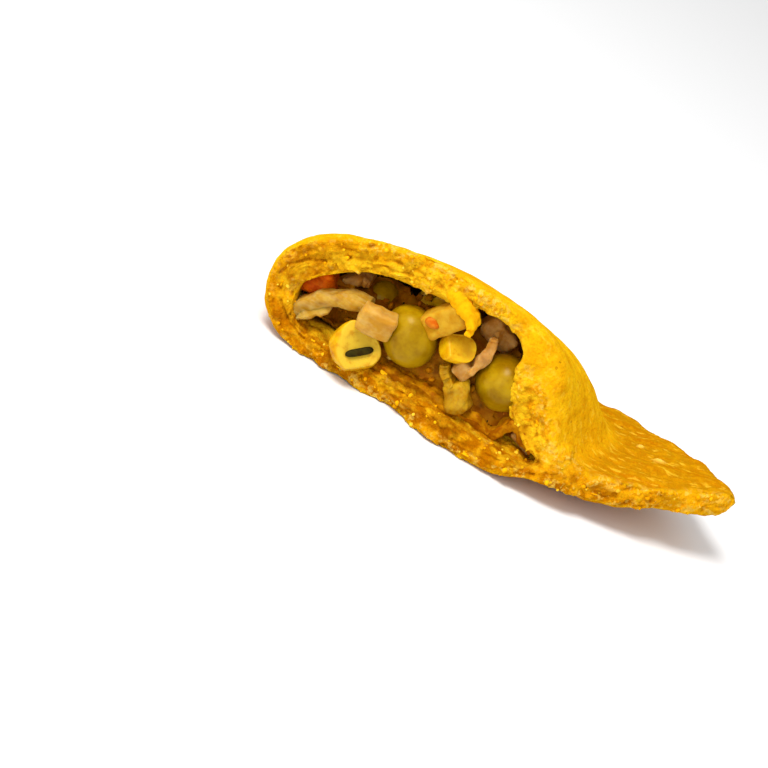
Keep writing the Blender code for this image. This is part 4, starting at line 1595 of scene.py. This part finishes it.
@dataclass
class LooseCrumb(Station):
    """Thin flakes and small crumbs that stand out of the torn face, and the hanging inner layer."""

    spots: Sequence[TornSpot]
    dice: random.Random = field(default_factory=lambda: random.Random(11))
    flake_kinds: int = 3
    flake_count: int = 12
    flake_length: Span = (0.5, 1.3)
    flake_reach: Span = (0.4, 0.9)
    flake_thick: Span = (0.6, 1.1)
    flake_lean: Span = (-0.45, 0.6)
    flake_sunk: float = 0.05
    flake_plate: float = 0.20
    crumb_count: int = 120
    crumb_size: Span = (0.30, 0.45)
    crumb_extra: float = 0.60
    crumb_width: Span = (0.6, 1.0)
    crumb_height: float = 0.8
    tongue: Sequence[Triple] = (
        (26.2, 2.2, 22.2), (28.0, 0.9, 21.4), (30.2, 0.1, 20.4), (31.8, -0.5, 19.2), (31.9, -0.7, 17.9),
    )
    tongue_strip: Strip = Strip(2.6, 1.0, 12.0)
    tongue_tint: float = 0.30
    tongue_grains: Grains = Grains(0.28, 1.1, 0.3, 5.0)
    tongue_lumps: Lumps = Lumps(0.18, even(0.6), 5.0)
    tongue_root: float = 0.9
    tongue_root_from: Span = (18.0, 21.5)

    def flake(self, name: str, seed: int) -> Piece:
        """One thin ragged plate, a unit long, wide along Y and thin along Z.

        Args:
            name: Name of the shape.
            seed: Picks its outline and bend.

        Returns:
            The plate at the origin.
        """
        plate = add_sheet(name, 5, 4)
        points = points_of(plate)
        edge = np.maximum(np.abs(points[:, 0]), np.abs(points[:, 1])) > 0.49
        ragged = Lumps(0.40, (0.35, 0.35, 1.0)).at(points, 3.7 * seed)
        points[:, :2] *= (1.0 + ragged * edge)[:, None]
        bent = Lumps(0.22, (0.8, 0.8, 1.0)).at(points, 1.3 * seed)
        points[:, 2] = bent - 0.35 * points[:, 1] ** 2
        reshape(plate, points)
        modify(plate, "SOLIDIFY", thickness=self.flake_plate, offset=0.0)
        return plate

    def crumb(self) -> Piece:
        """One small lump with few faces, at the origin."""
        lump = add_ball("crumb", 7, 5)
        points = points_of(lump)
        swell = 1.0 + Lumps(0.35, even(0.4), 2.0).at(points)
        reshape(lump, points * swell[:, None])
        return lump

    def flake_places(self, count: int) -> List[Matrix]:
        """Set flakes edge-on into the torn layers.

        Args:
            count: Number of flakes.

        Returns:
            A matrix for each flake.
        """
        places = []
        for _ in range(count):
            spot = self.dice.choice(self.spots)
            out = OUTWARDS + spot.layer_side * self.dice.uniform(*self.flake_lean)
            out.normalize()
            along = out.cross(spot.layer_side).normalized()
            side = along.cross(out).normalized()
            length = self.dice.uniform(*self.flake_length)
            reach = self.dice.uniform(*self.flake_reach)
            thick = self.dice.uniform(*self.flake_thick)
            size = Matrix.Diagonal((length * MM, reach * MM, thick * MM, 1.0))
            place = Matrix.Translation(spot.point - out * self.flake_sunk * MM)
            places.append(place @ turned_to(along, out, side) @ size)
        return places

    def crumb_places(self, count: int) -> List[Matrix]:
        """Set crumbs on the torn face.

        Args:
            count: Number of crumbs.

        Returns:
            A matrix for each crumb.
        """
        places = []
        for _ in range(count):
            spot = self.dice.choice(self.spots)
            size = self.dice.uniform(*self.crumb_size) + self.crumb_extra * self.dice.random() ** 3
            turn = any_turn(self.dice)
            width = size * self.dice.uniform(*self.crumb_width)
            stretch = Matrix.Diagonal((size * MM, width * MM, size * self.crumb_height * MM, 1.0))
            places.append(Matrix.Translation(spot.point) @ turn @ stretch)
        return places

    def hanging(self) -> Piece:
        """The ragged band of the inner layer that hangs from the roof, thicker at its root.

        Returns:
            The band.
        """
        band = ribbon(self.tear, "crust_tongue", self.tongue, self.tongue_strip)
        sculpt(band, lambda at: self.tongue_grains.at(at) + self.tongue_lumps.at(at)
               + self.tongue_root * ease(at[:, 2], *self.tongue_root_from))
        mark_all(band, "tint", self.tongue_tint)
        return band

    def clipped(self, piece: Piece) -> Piece:
        """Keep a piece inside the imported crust's box."""
        low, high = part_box("crust")
        reshape(piece, np.clip(points_of(piece), np.array(low), np.array(high)))
        return piece

    def build(self) -> None:
        """Make the flakes, the crumbs and the hanging band."""
        finish = CrumbFinish()
        for kind in range(self.flake_kinds):
            shape = self.flake("flake", kind + 1)
            places = self.flake_places(self.flake_count // self.flake_kinds)
            tints = [0.6 * self.dice.random() for _ in places]
            flakes = self.clipped(stamped(shape, places, tints, f"crust_flakes_{kind + 1}"))
            self.pastry(flakes, finish)
        lump = self.crumb()
        places = self.crumb_places(self.crumb_count)
        tints = [self.dice.random() for _ in places]
        loose = self.clipped(stamped(lump, places, tints, "crust_crumbs"))
        self.pastry(loose, finish)
        self.pastry(self.clipped(self.hanging()), finish)


@dataclass
class Core(Station):
    """Sauce and mash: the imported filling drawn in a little, so that the pieces stand out of it."""

    voxel: float = 0.42
    soften_turns: int = 8
    draw_in: float = 0.42
    grains: Grains = Grains(0.42, 1.7, 0.5, 2.0)
    fine: Lumps = Lumps(0.14, even(0.8), 7.0)
    front_depth: float = 0.4
    front_slope: float = 0.40
    front_foot: float = 3.4
    hollows: Sequence[SoftSpot] = (
        SoftSpot(12.4, 6.2, 3.2, (0.0, 4.0, 0.0)), SoftSpot(17.6, 14.4, 3.6, (0.0, 6.5, 0.0)),
        SoftSpot(12.0, 14.0, 3.0, (0.0, 6.0, 0.0)), SoftSpot(22.4, 15.8, 3.0, (0.0, 6.0, 0.0)),
        SoftSpot(38.5, 18.0, 3.4, (0.0, 5.0, 0.0)),
    )
    bed_span: Span = (17.0, 50.0)
    bed_steps: int = 15
    bed_depth: float = 1.8
    bed_above: float = 8.5
    bed_lift: float = 0.30
    bed: Strip = Strip(3.6, 1.9, 14.0, 0.8)
    bed_grains: Grains = Grains(0.5, 1.5, 0.4, 6.0)
    bed_lumps: Lumps = Lumps(0.25, even(3.0), 2.0)

    def build(self) -> Piece:
        """Make the core.

        Returns:
            The core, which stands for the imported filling.
        """
        core = copied_node("filling", "filling_core")
        points = points_of(core)
        local = self.tear.local(points)
        points[:, 1] = self.tear.tear + np.maximum(local[:, 1], self.front(local)) * MM
        reshape(core, points)
        modify(core, "REMESH", mode="VOXEL", voxel_size=self.voxel * MM)
        modify(core, "SMOOTH", factor=0.5, iterations=self.soften_turns)
        sculpt(core, lambda at: self.grains.at(at) + self.fine.at(at) - self.draw_in)
        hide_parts("filling")
        return self.vegetable(core, Vegetable.MASH)

    def build_bed(self, shell: Piece) -> None:
        """Lay a lumpy roll of crumbs and sauce where the filling meets the lower crust.

        Args:
            shell: The finished crust.
        """
        tree = surface_of(shell)
        start, end = self.bed_span
        route = []
        for step in range(self.bed_steps):
            across = start + (end - start) * step / (self.bed_steps - 1)
            above = self.tear.point((across, self.bed_depth, self.bed_above))
            hit = tree.ray_cast(above, DOWNWARDS)[0]
            if hit is not None:
                route.append((across, self.bed_depth, hit.z / MM + self.bed_lift))
        bed = ribbon(self.tear, "crumb_bed", route, self.bed)
        modify(bed, "SUBSURF", levels=1, render_levels=1)
        sculpt(bed, lambda at: self.bed_grains.at(at) + self.bed_lumps.at(at))
        self.vegetable(bed, Vegetable.BED)

    def front(self, local: Array) -> Array:
        """Depth of the core's leaning front, with its hollows.

        Args:
            local: Places in millimetres.

        Returns:
            Depths in millimetres.
        """
        depth = self.front_depth + self.front_slope * (local[:, 2] - self.front_foot)
        for hollow in self.hollows:
            depth = depth + hollow.shift[1] * hollow.share(local[:, 0], local[:, 2])
        return depth


@dataclass
class Peas(Station):
    """Whole cooked peas with a soft skin that has begun to wrinkle."""

    seats: Mapping[str, Seat] = field(default_factory=lambda: {
        "pea_front": Seat((24.2, 2.6, 11.1), (10.0, -30.0, 0.0), (8.9, 9.2, 10.4)),
        "pea_right": Seat((40.6, 4.4, 11.8), (0.0, 30.0, 10.0), (9.2, 9.4, 9.3)),
        "pea_back": Seat((17.0, 10.6, 11.3), (30.0, 0.0, 0.0), (5.0, 6.0, 4.6)),
        "pea_deep": Seat((45.0, 7.8, 6.8), (0.0, 0.0, 0.0), (7.8, 7.0, 5.8)),
        "pea_behind": Seat((30.5, 12.5, 13.2), (0.0, 40.0, 0.0), (8.4, 8.6, 8.2)),
    })
    segments: int = 48
    rings: int = 28
    dent: float = 0.22
    dent_size: Triple = even(4.2)
    wrinkle: float = 0.10
    wrinkle_size: Triple = (1.5, 0.7, 1.5)
    wrinkled_from: Span = (0.05, 0.35)

    def build(self) -> None:
        """Make each pea."""
        for seed, (name, seat) in enumerate(self.seats.items()):
            pea = add_ball(name, self.segments, self.rings)
            size_up(pea, seat.size)
            sculpt(pea, lambda at: self.skin(at, 10.0 * seed + 3.0))
            settle(pea, self.tear, seat)
            self.vegetable(pea, Vegetable.PEA)

    def skin(self, at: Array, seed: float) -> Array:
        """Soft dents all over, with fine wrinkles in some of them.

        Args:
            at: Places in millimetres.
            seed: Picks the pattern.

        Returns:
            Millimetres outwards.
        """
        dents = lumps(at, self.dent_size, seed)
        folds = 1.0 - np.abs(lumps(at, self.wrinkle_size, seed + 5.0)) * 2.0
        return self.dent * dents - self.wrinkle * folds * ease(-dents, *self.wrinkled_from)


@dataclass(frozen=True)
class Facet:
    """A cut side: its direction, its distance from the middle, and how bright it is."""

    way: Triple
    reach: float
    bright: float


@dataclass
class Kernels(Station):
    """Corn kernels: broad dented crown, pinched root."""

    seats: Mapping[str, Seat] = field(default_factory=lambda: {
        "corn_left": Seat((17.8, 0.8, 5.5), (72.0, 22.0, -8.0), (10.2, 8.4, 9.6)),
        "corn_right": Seat((31.6, 2.2, 13.4), (58.0, -22.0, 12.0), (6.8, 5.4, 6.4)),
        "corn_behind": Seat((24.7, 11.5, 14.7), (20.0, 60.0, 10.0), (6.4, 4.6, 6.8)),
    })
    facets: Mapping[str, Sequence[Facet]] = field(default_factory=lambda: {
        "corn_left": (Facet((0.30, -0.84, 0.46), 3.2, 1.0), Facet((0.66, -0.42, -0.62), 3.7, 0.0)),
        "corn_right": (Facet((0.10, -0.62, 0.78), 2.0, 0.35), Facet((-0.70, -0.66, 0.10), 2.6, 0.0)),
    })
    root: float = 0.60
    edge_round: float = 0.30
    smooth_levels: int = 3
    crown_from: Span = (0.15, 0.40)
    dent: float = 0.55
    dent_across: float = 0.20
    dent_along: float = 0.16
    swell: Lumps = Lumps(0.45, even(4.6))
    fine_swell: Lumps = Lumps(0.09, even(1.3))
    plain: float = 0.6
    flattened: float = 0.9
    dish: float = 0.55
    dish_area: float = 9.5
    dish_from: Span = (0.0, 0.6)
    bright_from: Span = (-0.6, 0.5)

    def build(self) -> Dict[str, Piece]:
        """Make each kernel, and give them by name."""
        return {name: self.vegetable(self.kernel(name, seat, seed + 1.0), Vegetable.CORN)
                for seed, (name, seat) in enumerate(self.seats.items())}

    def kernel(self, name: str, seat: Seat, seed: float) -> Piece:
        """One kernel.

        Args:
            name: Name of the piece.
            seat: Where it sits.
            seed: Picks its unevenness.

        Returns:
            The kernel in its place.
        """
        kernel = add_block(name)
        bpy.ops.object.mode_set(mode="EDIT")
        bpy.ops.mesh.select_mode(type="FACE")
        bpy.ops.mesh.select_all(action="DESELECT")
        bpy.ops.object.mode_set(mode="OBJECT")
        for face in kernel.data.polygons:
            face.select = face.normal.z < -0.9
        bpy.ops.object.mode_set(mode="EDIT")
        bpy.ops.transform.resize(value=(self.root, self.root, 1.0))
        bpy.ops.mesh.select_all(action="SELECT")
        bpy.ops.mesh.bevel(offset=self.edge_round, segments=2, affect="EDGES")
        bpy.ops.object.mode_set(mode="OBJECT")
        modify(kernel, "SUBSURF", levels=self.smooth_levels, render_levels=self.smooth_levels)
        mark(kernel, "crown", points_of(kernel)[:, 2] + 0.5)
        size_up(kernel, seat.size)
        sculpt(kernel, lambda at: self.skin(at, seat, seed))
        if name in self.facets:
            mark_all(kernel, "crown", self.plain)
        for facet in self.facets.get(name, ()):
            self.slice_off(kernel, seat, facet)
        settle(kernel, self.tear, seat)
        return kernel

    def slice_off(self, kernel: Piece, seat: Seat, facet: Facet) -> None:
        """Flatten one side, and mark how close to that cut each vertex is.

        Args:
            kernel: The kernel at the origin.
            seat: How it will be turned.
            facet: The cut side.
        """
        turn = seat.rotation().to_matrix()
        direction = np.array((turn.transposed() @ Vector(facet.way)).normalized())
        points = points_of(kernel) / MM
        over = points @ direction - facet.reach
        away = (points ** 2).sum(axis=1) - (points @ direction) ** 2
        middle = np.clip(1.0 - away / self.dish_area, 0.0, 1.0)
        pressed = self.dish * facet.bright * middle * ease(over, *self.dish_from)
        pressed = self.flattened * np.maximum(over, 0.0) + pressed
        reshape(kernel, (points - pressed[:, None] * direction) * MM)
        crown = self.plain - self.plain * facet.bright * ease(over, *self.bright_from)
        mark(kernel, "crown", np.minimum(marked(kernel, "crown"), crown))

    def skin(self, at: Array, seat: Seat, seed: float) -> Array:
        """A shallow dent in the crown and soft unevenness.

        Args:
            at: Places in millimetres.
            seat: Gives the kernel's size.
            seed: Picks the unevenness.

        Returns:
            Millimetres outwards.
        """
        across = at[:, 0] / seat.size[0]
        along = at[:, 1] / seat.size[1]
        crown = ease(at[:, 2] / seat.size[2], *self.crown_from)
        dent = self.dent * np.exp(-(across / self.dent_across) ** 2 - (along / self.dent_along) ** 2)
        return self.swell.at(at, seed) + self.fine_swell.at(at, seed) - crown * dent


@dataclass(frozen=True)
class Slice:
    """A curved slice: its route in the tear frame, its measures and its finish."""

    route: Sequence[Triple]
    strip: Strip
    finish: Vegetable


@dataclass
class Onions(Station):
    """Curved onion slices and a cabbage stalk, with lines of their layers along them."""

    slices: Mapping[str, Slice] = field(default_factory=lambda: {
        "onion_arch": Slice(
            ((6.0, 2.8, 4.2), (7.2, 2.2, 6.8), (9.6, 2.0, 9.2), (13.0, 1.8, 11.4), (17.0, 1.8, 12.6)),
            Strip(3.8, 2.0, 14.0), Vegetable.ONION_GREEN),
        "onion_back": Slice(
            ((10.2, 8.2, 11.6), (12.4, 8.4, 12.8), (14.6, 8.8, 13.2)),
            Strip(3.4, 1.4, 15.0), Vegetable.ONION_PINK),
        "onion_right": Slice(
            ((35.6, 3.8, 18.4), (36.2, 2.6, 15.4), (35.3, 1.2, 11.8)),
            Strip(2.4, 1.5, 10.0), Vegetable.ONION_PINK),
        "onion_leaf": Slice(
            ((6.6, 1.6, 4.4), (8.0, 1.4, 6.0), (9.8, 1.4, 7.8), (11.6, 1.6, 9.4)),
            Strip(3.4, 0.9, 62.0), Vegetable.ONION_GREEN),
        "cabbage_stalk": Slice(
            ((31.2, 1.8, 10.9), (32.0, 1.2, 9.8), (33.2, 0.8, 8.9), (34.6, 0.6, 8.4)),
            Strip(3.0, 1.7, 12.0), Vegetable.CABBAGE),
        "onion_behind": Slice(
            ((34.0, 12.0, 15.8), (38.0, 12.5, 15.6), (42.0, 12.0, 13.4)),
            Strip(5.0, 1.3, 20.0), Vegetable.ONION),
    })
    soften_turns: int = 22
    swell: float = 0.12
    uneven: Lumps = Lumps(0.50, even(2.4))
    fine: Lumps = Lumps(0.14, even(0.9), 6.0)
    full_thick: float = 1.6
    end_thinning: float = 0.34
    end_from: Span = (2.6, 0.4)

    def build(self) -> None:
        """Make each slice."""
        for seed, (name, cut) in enumerate(self.slices.items()):
            piece = ribbon(self.tear, name, cut.route, cut.strip)
            modify(piece, "SMOOTH", factor=0.5, iterations=self.soften_turns)
            modify(piece, "SUBSURF", levels=1, render_levels=1)
            sculpt(piece, lambda at: self.skin(at, cut, 4.0 + seed))
            self.vegetable(piece, cut.finish)

    def skin(self, at: Array, cut: Slice, seed: float) -> Array:
        """Thick and thin places, with ends that thin out.

        Args:
            at: Places in millimetres.
            cut: The slice.
            seed: Picks the pattern.

        Returns:
            Millimetres outwards.
        """
        ends = [np.array(self.tear.point(cut.route[end])) / MM for end in (0, -1)]
        away = np.minimum(*(np.linalg.norm(at - end, axis=1) for end in ends))
        soft = self.uneven.at(at, seed) + self.fine.at(at)
        thick = cut.strip.thick
        thinned = self.end_thinning * thick * ease(away, *self.end_from)
        return self.swell + soft * min(thick, self.full_thick) / self.full_thick - thinned


@dataclass(frozen=True)
class Cut:
    """A diced piece: its seat and finish, how round its edges are, and the height of its lumps."""

    seat: Seat
    finish: Vegetable
    soft: float = 0.14
    lump: float = 0.22


@dataclass
class Dice(Station):
    """Diced root vegetables and onion, and torn lumps of cabbage."""

    cuts: Mapping[str, Cut] = field(default_factory=lambda: {
        "onion_block": Cut(Seat((18.7, -1.0, 11.8), (10.0, -4.0, 8.0), (5.9, 3.5, 4.3)),
                           Vegetable.ONION, 0.11, 0.38),
        "root_chunk": Cut(Seat((27.7, 1.4, 17.0), (8.0, -54.0, -8.0), (7.0, 4.2, 4.3)),
                          Vegetable.ROOT, 0.18, 0.32),
        "chunk_dot": Cut(Seat((26.4, -0.25, 16.0), (0.0, 10.0, -6.0), (2.8, 1.9, 1.9)),
                         Vegetable.PEPPER, 0.80, 0.45),
        "onion_small": Cut(Seat((33.9, 1.8, 11.3), (0.0, 20.0, 10.0), (2.9, 3.4, 2.8)),
                           Vegetable.ONION_PINK),
        "onion_top": Cut(Seat((36.0, 8.6, 17.0), (0.0, 25.0, 10.0), (6.4, 4.6, 3.4)),
                         Vegetable.ONION_PINK, 0.30, 0.8),
        "onion_edge": Cut(Seat((48.0, 4.0, 5.4), (0.0, 25.0, 0.0), (4.4, 4.0, 1.8)),
                          Vegetable.ONION_PINK),
        "carrot_bit": Cut(Seat((7.0, 5.2, 10.5), (0.0, -18.0, 0.0), (5.6, 5.0, 4.6)),
                          Vegetable.CARROT, 0.20, 0.65),
        "cabbage_lower": Cut(Seat((35.5, 0.7, 7.2), (0.0, 50.0, 0.0), (4.8, 4.2, 4.0)),
                             Vegetable.CABBAGE, 0.20, 0.8),
    })
    voxel: float = 0.30
    soften_turns: int = 6
    lump_size: Triple = even(2.4)
    fine_size: Triple = even(0.9)
    fine_share: float = 0.25

    def build(self) -> None:
        """Make each piece."""
        for seed, (name, cut) in enumerate(self.cuts.items()):
            self.vegetable(self.diced(name, cut, 3.0 + seed), cut.finish)

    def diced(self, name: str, cut: Cut, seed: float) -> Piece:
        """One cut block with softened edges and uneven sides.

        Args:
            name: Name of the piece.
            cut: Its seat, finish and softness.
            seed: Picks its unevenness.

        Returns:
            The block in its place.
        """
        block = add_block(name)
        size_up(block, cut.seat.size)
        modify(block, "BEVEL", width=cut.soft * min(cut.seat.size) * MM, segments=3)
        modify(block, "REMESH", mode="VOXEL", voxel_size=self.voxel * MM)
        modify(block, "SMOOTH", factor=0.5, iterations=self.soften_turns)
        large = Lumps(cut.lump, self.lump_size, seed)
        small = Lumps(self.fine_share * cut.lump, self.fine_size, seed)
        sculpt(block, lambda at: large.at(at) + small.at(at))
        settle(block, self.tear, cut.seat)
        return block


@dataclass
class Scraps(Station):
    """Small bits in the sauce: herb flecks, pepper and onion dice, and the long herb on the corn."""

    kinds: Sequence[Tuple[str, Vegetable, float, int]] = (
        ("bits_onion", Vegetable.ONION, 1.5, 22), ("bits_pepper", Vegetable.PEPPER, 0.9, 7),
        ("bits_mash", Vegetable.BED, 1.6, 40), ("bits_herb", Vegetable.HERB, 0.6, 16),
    )
    seed: int = 23
    across: Span = (6.0, 52.0)
    high: Span = (3.5, 19.0)
    size_range: Span = (0.6, 1.25)
    width_range: Span = (0.5, 1.0)
    thick_share: float = 0.6
    ray_start: float = -14.0
    ray_reach: float = 40.0
    bit_size: float = 0.8
    bit_swell: float = 1.35
    bit_lumps: Lumps = Lumps(0.3, even(0.5))
    herb_line: Sequence[Span] = ((17.3, 5.2), (20.4, 8.0))
    herb_size: Span = (1.25, 0.7)
    herb_overlap: float = 0.9
    herb_lift: float = 0.30
    herb_bend: Lumps = Lumps(0.12, even(0.7), 3.0)

    def herb(self, kernel: Piece) -> Piece:
        """The long dark herb, a bar with rounded ends that lies on the corn's cut side.

        Args:
            kernel: The corn kernel.

        Returns:
            The bar in its place.
        """
        tree = surface_of(kernel)
        ends = [self.tear.point((across, -3.0, high)) for across, high in self.herb_line]
        (first, first_normal), (last, last_normal) = [tree.find_nearest(end)[:2] for end in ends]
        along = last - first
        face = (first_normal + last_normal).normalized()
        bar = add_ball("herb_leaf", 20, 14)
        points = points_of(bar)
        points[:, 2] = np.sign(points[:, 2]) * np.abs(2.0 * points[:, 2]) ** 0.5 / 2.0
        points *= np.array((*self.herb_size, along.length / MM + self.herb_overlap)) * MM
        points[:, 1] += self.herb_bend.at(points / MM) * MM
        reshape(bar, points)
        side = face.cross(along).normalized()
        along = along.normalized()
        middle = (first + last) * 0.5 + face * self.herb_lift * MM
        bar.data.transform(Matrix.Translation(middle) @ turned_to(side, along.cross(side), along))
        return bar

    def build(self, core: Piece, kernel: Piece) -> None:
        """Make the scraps.

        Args:
            core: The core that the bits lie on.
            kernel: The corn kernel that the long herb lies on.
        """
        self.vegetable(self.herb(kernel), Vegetable.HERB)
        tree = surface_of(core)
        dice = random.Random(self.seed)
        for name, finish, size, count in self.kinds:
            shape = self.bit(name)
            places = self.places(dice, tree, size, count)
            pieces = stamped(shape, places, [0.0] * len(places), name)
            self.vegetable(pieces, finish)

    def bit(self, name: str) -> Piece:
        """A small softened block.

        Args:
            name: Name of the bits, whose length picks the unevenness.

        Returns:
            The block at the origin.
        """
        block = add_block(name + "_shape", self.bit_size)
        modify(block, "SUBSURF", levels=1, render_levels=1)
        points = points_of(block)
        swell = self.bit_swell + self.bit_lumps.at(points, len(name))
        reshape(block, points * swell[:, None])
        return block

    def places(self, dice: random.Random, tree: BVHTree, usual: float, count: int) -> List[Matrix]:
        """Set bits on the front of the core.

        Args:
            dice: Source of random numbers.
            tree: Search tree of the core.
            usual: Usual size in millimetres.
            count: Number of bits.

        Returns:
            A matrix for each bit.
        """
        places = []
        while len(places) < count:
            across = dice.uniform(*self.across)
            start = self.tear.point((across, self.ray_start, dice.uniform(*self.high)))
            hit = tree.ray_cast(start, INWARDS, self.ray_reach * MM)[0]
            if hit is None:
                continue
            turn = any_turn(dice)
            size = usual * dice.uniform(*self.size_range) * MM
            width = size * dice.uniform(*self.width_range)
            stretch = Matrix.Diagonal((size, width, size * self.thick_share, 1.0))
            places.append(Matrix.Translation(hit) @ turn @ stretch)
        return places


@dataclass(frozen=True)
class PhotoCamera:
    """The photograph's view: from above the torn face, rolled so that the base slopes down."""

    rise: float = 24.0
    swing: float = 2.0
    roll: float = 30.5
    distance: float = 0.33
    lens: float = 98.2
    sensor: float = 36.0
    nearest: float = 0.01
    target: Triple = (24.58, 0.0, 2.83)

    def axes(self) -> Tuple[Vector, Vector, Vector]:
        """Right, up and back of the picture.

        Returns:
            Three directions in the frame.
        """
        rise, swing, roll = (math.radians(angle) for angle in (self.rise, self.swing, self.roll))
        sine, cosine = math.sin(swing), math.cos(swing)
        back = Vector((sine * math.cos(rise), -cosine * math.cos(rise), math.sin(rise)))
        level = Vector((cosine, sine, 0.0))
        upright = Vector((-sine * math.sin(rise), cosine * math.sin(rise), math.cos(rise)))
        right = math.cos(roll) * level + math.sin(roll) * upright
        up = math.cos(roll) * upright - math.sin(roll) * level
        return right, up, back

    def build(self, tear: TearFrame) -> None:
        """Make the camera and set it as the scene's.

        Args:
            tear: The tear frame.
        """
        right, up, back = self.axes()
        data = bpy.data.cameras.new("photo_view")
        data.lens = self.lens
        data.sensor_width = self.sensor
        data.clip_start = self.nearest
        camera = bpy.data.objects.new("photo_view", data)
        bpy.context.scene.collection.objects.link(camera)
        camera.matrix_world = turned_to(right, up, back)
        camera.matrix_world.translation = tear.point(self.target) + back * self.distance
        bpy.context.scene.camera = camera


@dataclass
class Studio:
    """Plain pale floor and soft light from above the torn face."""

    tear: TearFrame
    camera: PhotoCamera
    floor_size: float = 6.0
    floor_drop: float = 0.1
    floor_grey: float = 0.86
    sky: float = 0.72
    lamp_aim: Triple = (30.0, 10.0, 8.0)
    key_shift: Triple = (0.04, 0.44, 0.44)
    key_power: float = 3.7
    key_size: float = 0.24
    fill_shift: Triple = (-0.20, 0.05, 0.60)
    fill_power: float = 1.0
    fill_size: float = 0.4

    def floor(self) -> None:
        """Lay a pale floor just under the base."""
        floor = add_piece("floor", bpy.ops.mesh.primitive_plane_add, size=self.floor_size,
                          location=(0.0, 0.0, -self.floor_drop * MM))
        bpy.ops.object.transform_apply(location=True, rotation=True, scale=True)
        graph = Recipe("pale_floor")
        grey = (self.floor_grey, self.floor_grey, self.floor_grey, 1.0)
        graph.set(Base_Color=grey, Roughness=0.95, Specular_IOR_Level=0.1)
        floor.data.materials.append(graph.material)

    def lamp(self, name: str, shift: Triple, power: float, size: float) -> None:
        """Hang one soft lamp and point it at the mouth.

        Args:
            name: Name of the lamp.
            shift: Metres to the picture's right, up and back.
            power: Power in watts.
            size: Width in metres.
        """
        right, up, back = self.camera.axes()
        target = self.tear.point(self.lamp_aim)
        data = bpy.data.lights.new(name, "AREA")
        data.energy = power
        data.size = size
        light = bpy.data.objects.new(name, data)
        bpy.context.scene.collection.objects.link(light)
        light.location = target + right * shift[0] + up * shift[1] + back * shift[2]
        light.rotation_euler = (target - light.location).to_track_quat("-Z", "Y").to_euler()

    def build(self) -> None:
        """Make the floor, the lamps, the white surroundings and the plain colour view."""
        self.floor()
        self.lamp("key", self.key_shift, self.key_power, self.key_size)
        self.lamp("fill", self.fill_shift, self.fill_power, self.fill_size)
        world = bpy.data.worlds.new("soft_white")
        world.use_nodes = True
        sky = world.node_tree.nodes["Background"]
        sky.inputs["Color"].default_value = (1.0, 1.0, 1.0, 1.0)
        sky.inputs["Strength"].default_value = self.sky
        bpy.context.scene.world = world
        bpy.context.scene.view_settings.view_transform = "Standard"
        bpy.context.scene.view_settings.look = "None"


def main() -> None:
    """Build the patty half, its light and its camera."""
    logging.basicConfig(level=logging.INFO, format="%(name)s %(message)s")
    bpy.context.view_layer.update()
    low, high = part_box("crust")
    tear = TearFrame(fold=low.x, tear=high.y - TEAR_TO_FAR_END * MM)
    camera = PhotoCamera()
    camera.build(tear)
    pantry = Pantry(Effects())
    crust = Crust(tear, pantry)
    shell = crust.build()
    LooseCrumb(tear, pantry, crust.spots).build()
    filling = Core(tear, pantry)
    core = filling.build()
    filling.build_bed(shell)
    Peas(tear, pantry).build()
    kernels = Kernels(tear, pantry).build()
    Onions(tear, pantry).build()
    Dice(tear, pantry).build()
    Scraps(tear, pantry).build(core, kernels["corn_left"])
    Studio(tear, camera).build()
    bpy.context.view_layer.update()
    log.info("size file written")


if __name__ == "__main__":
    main()
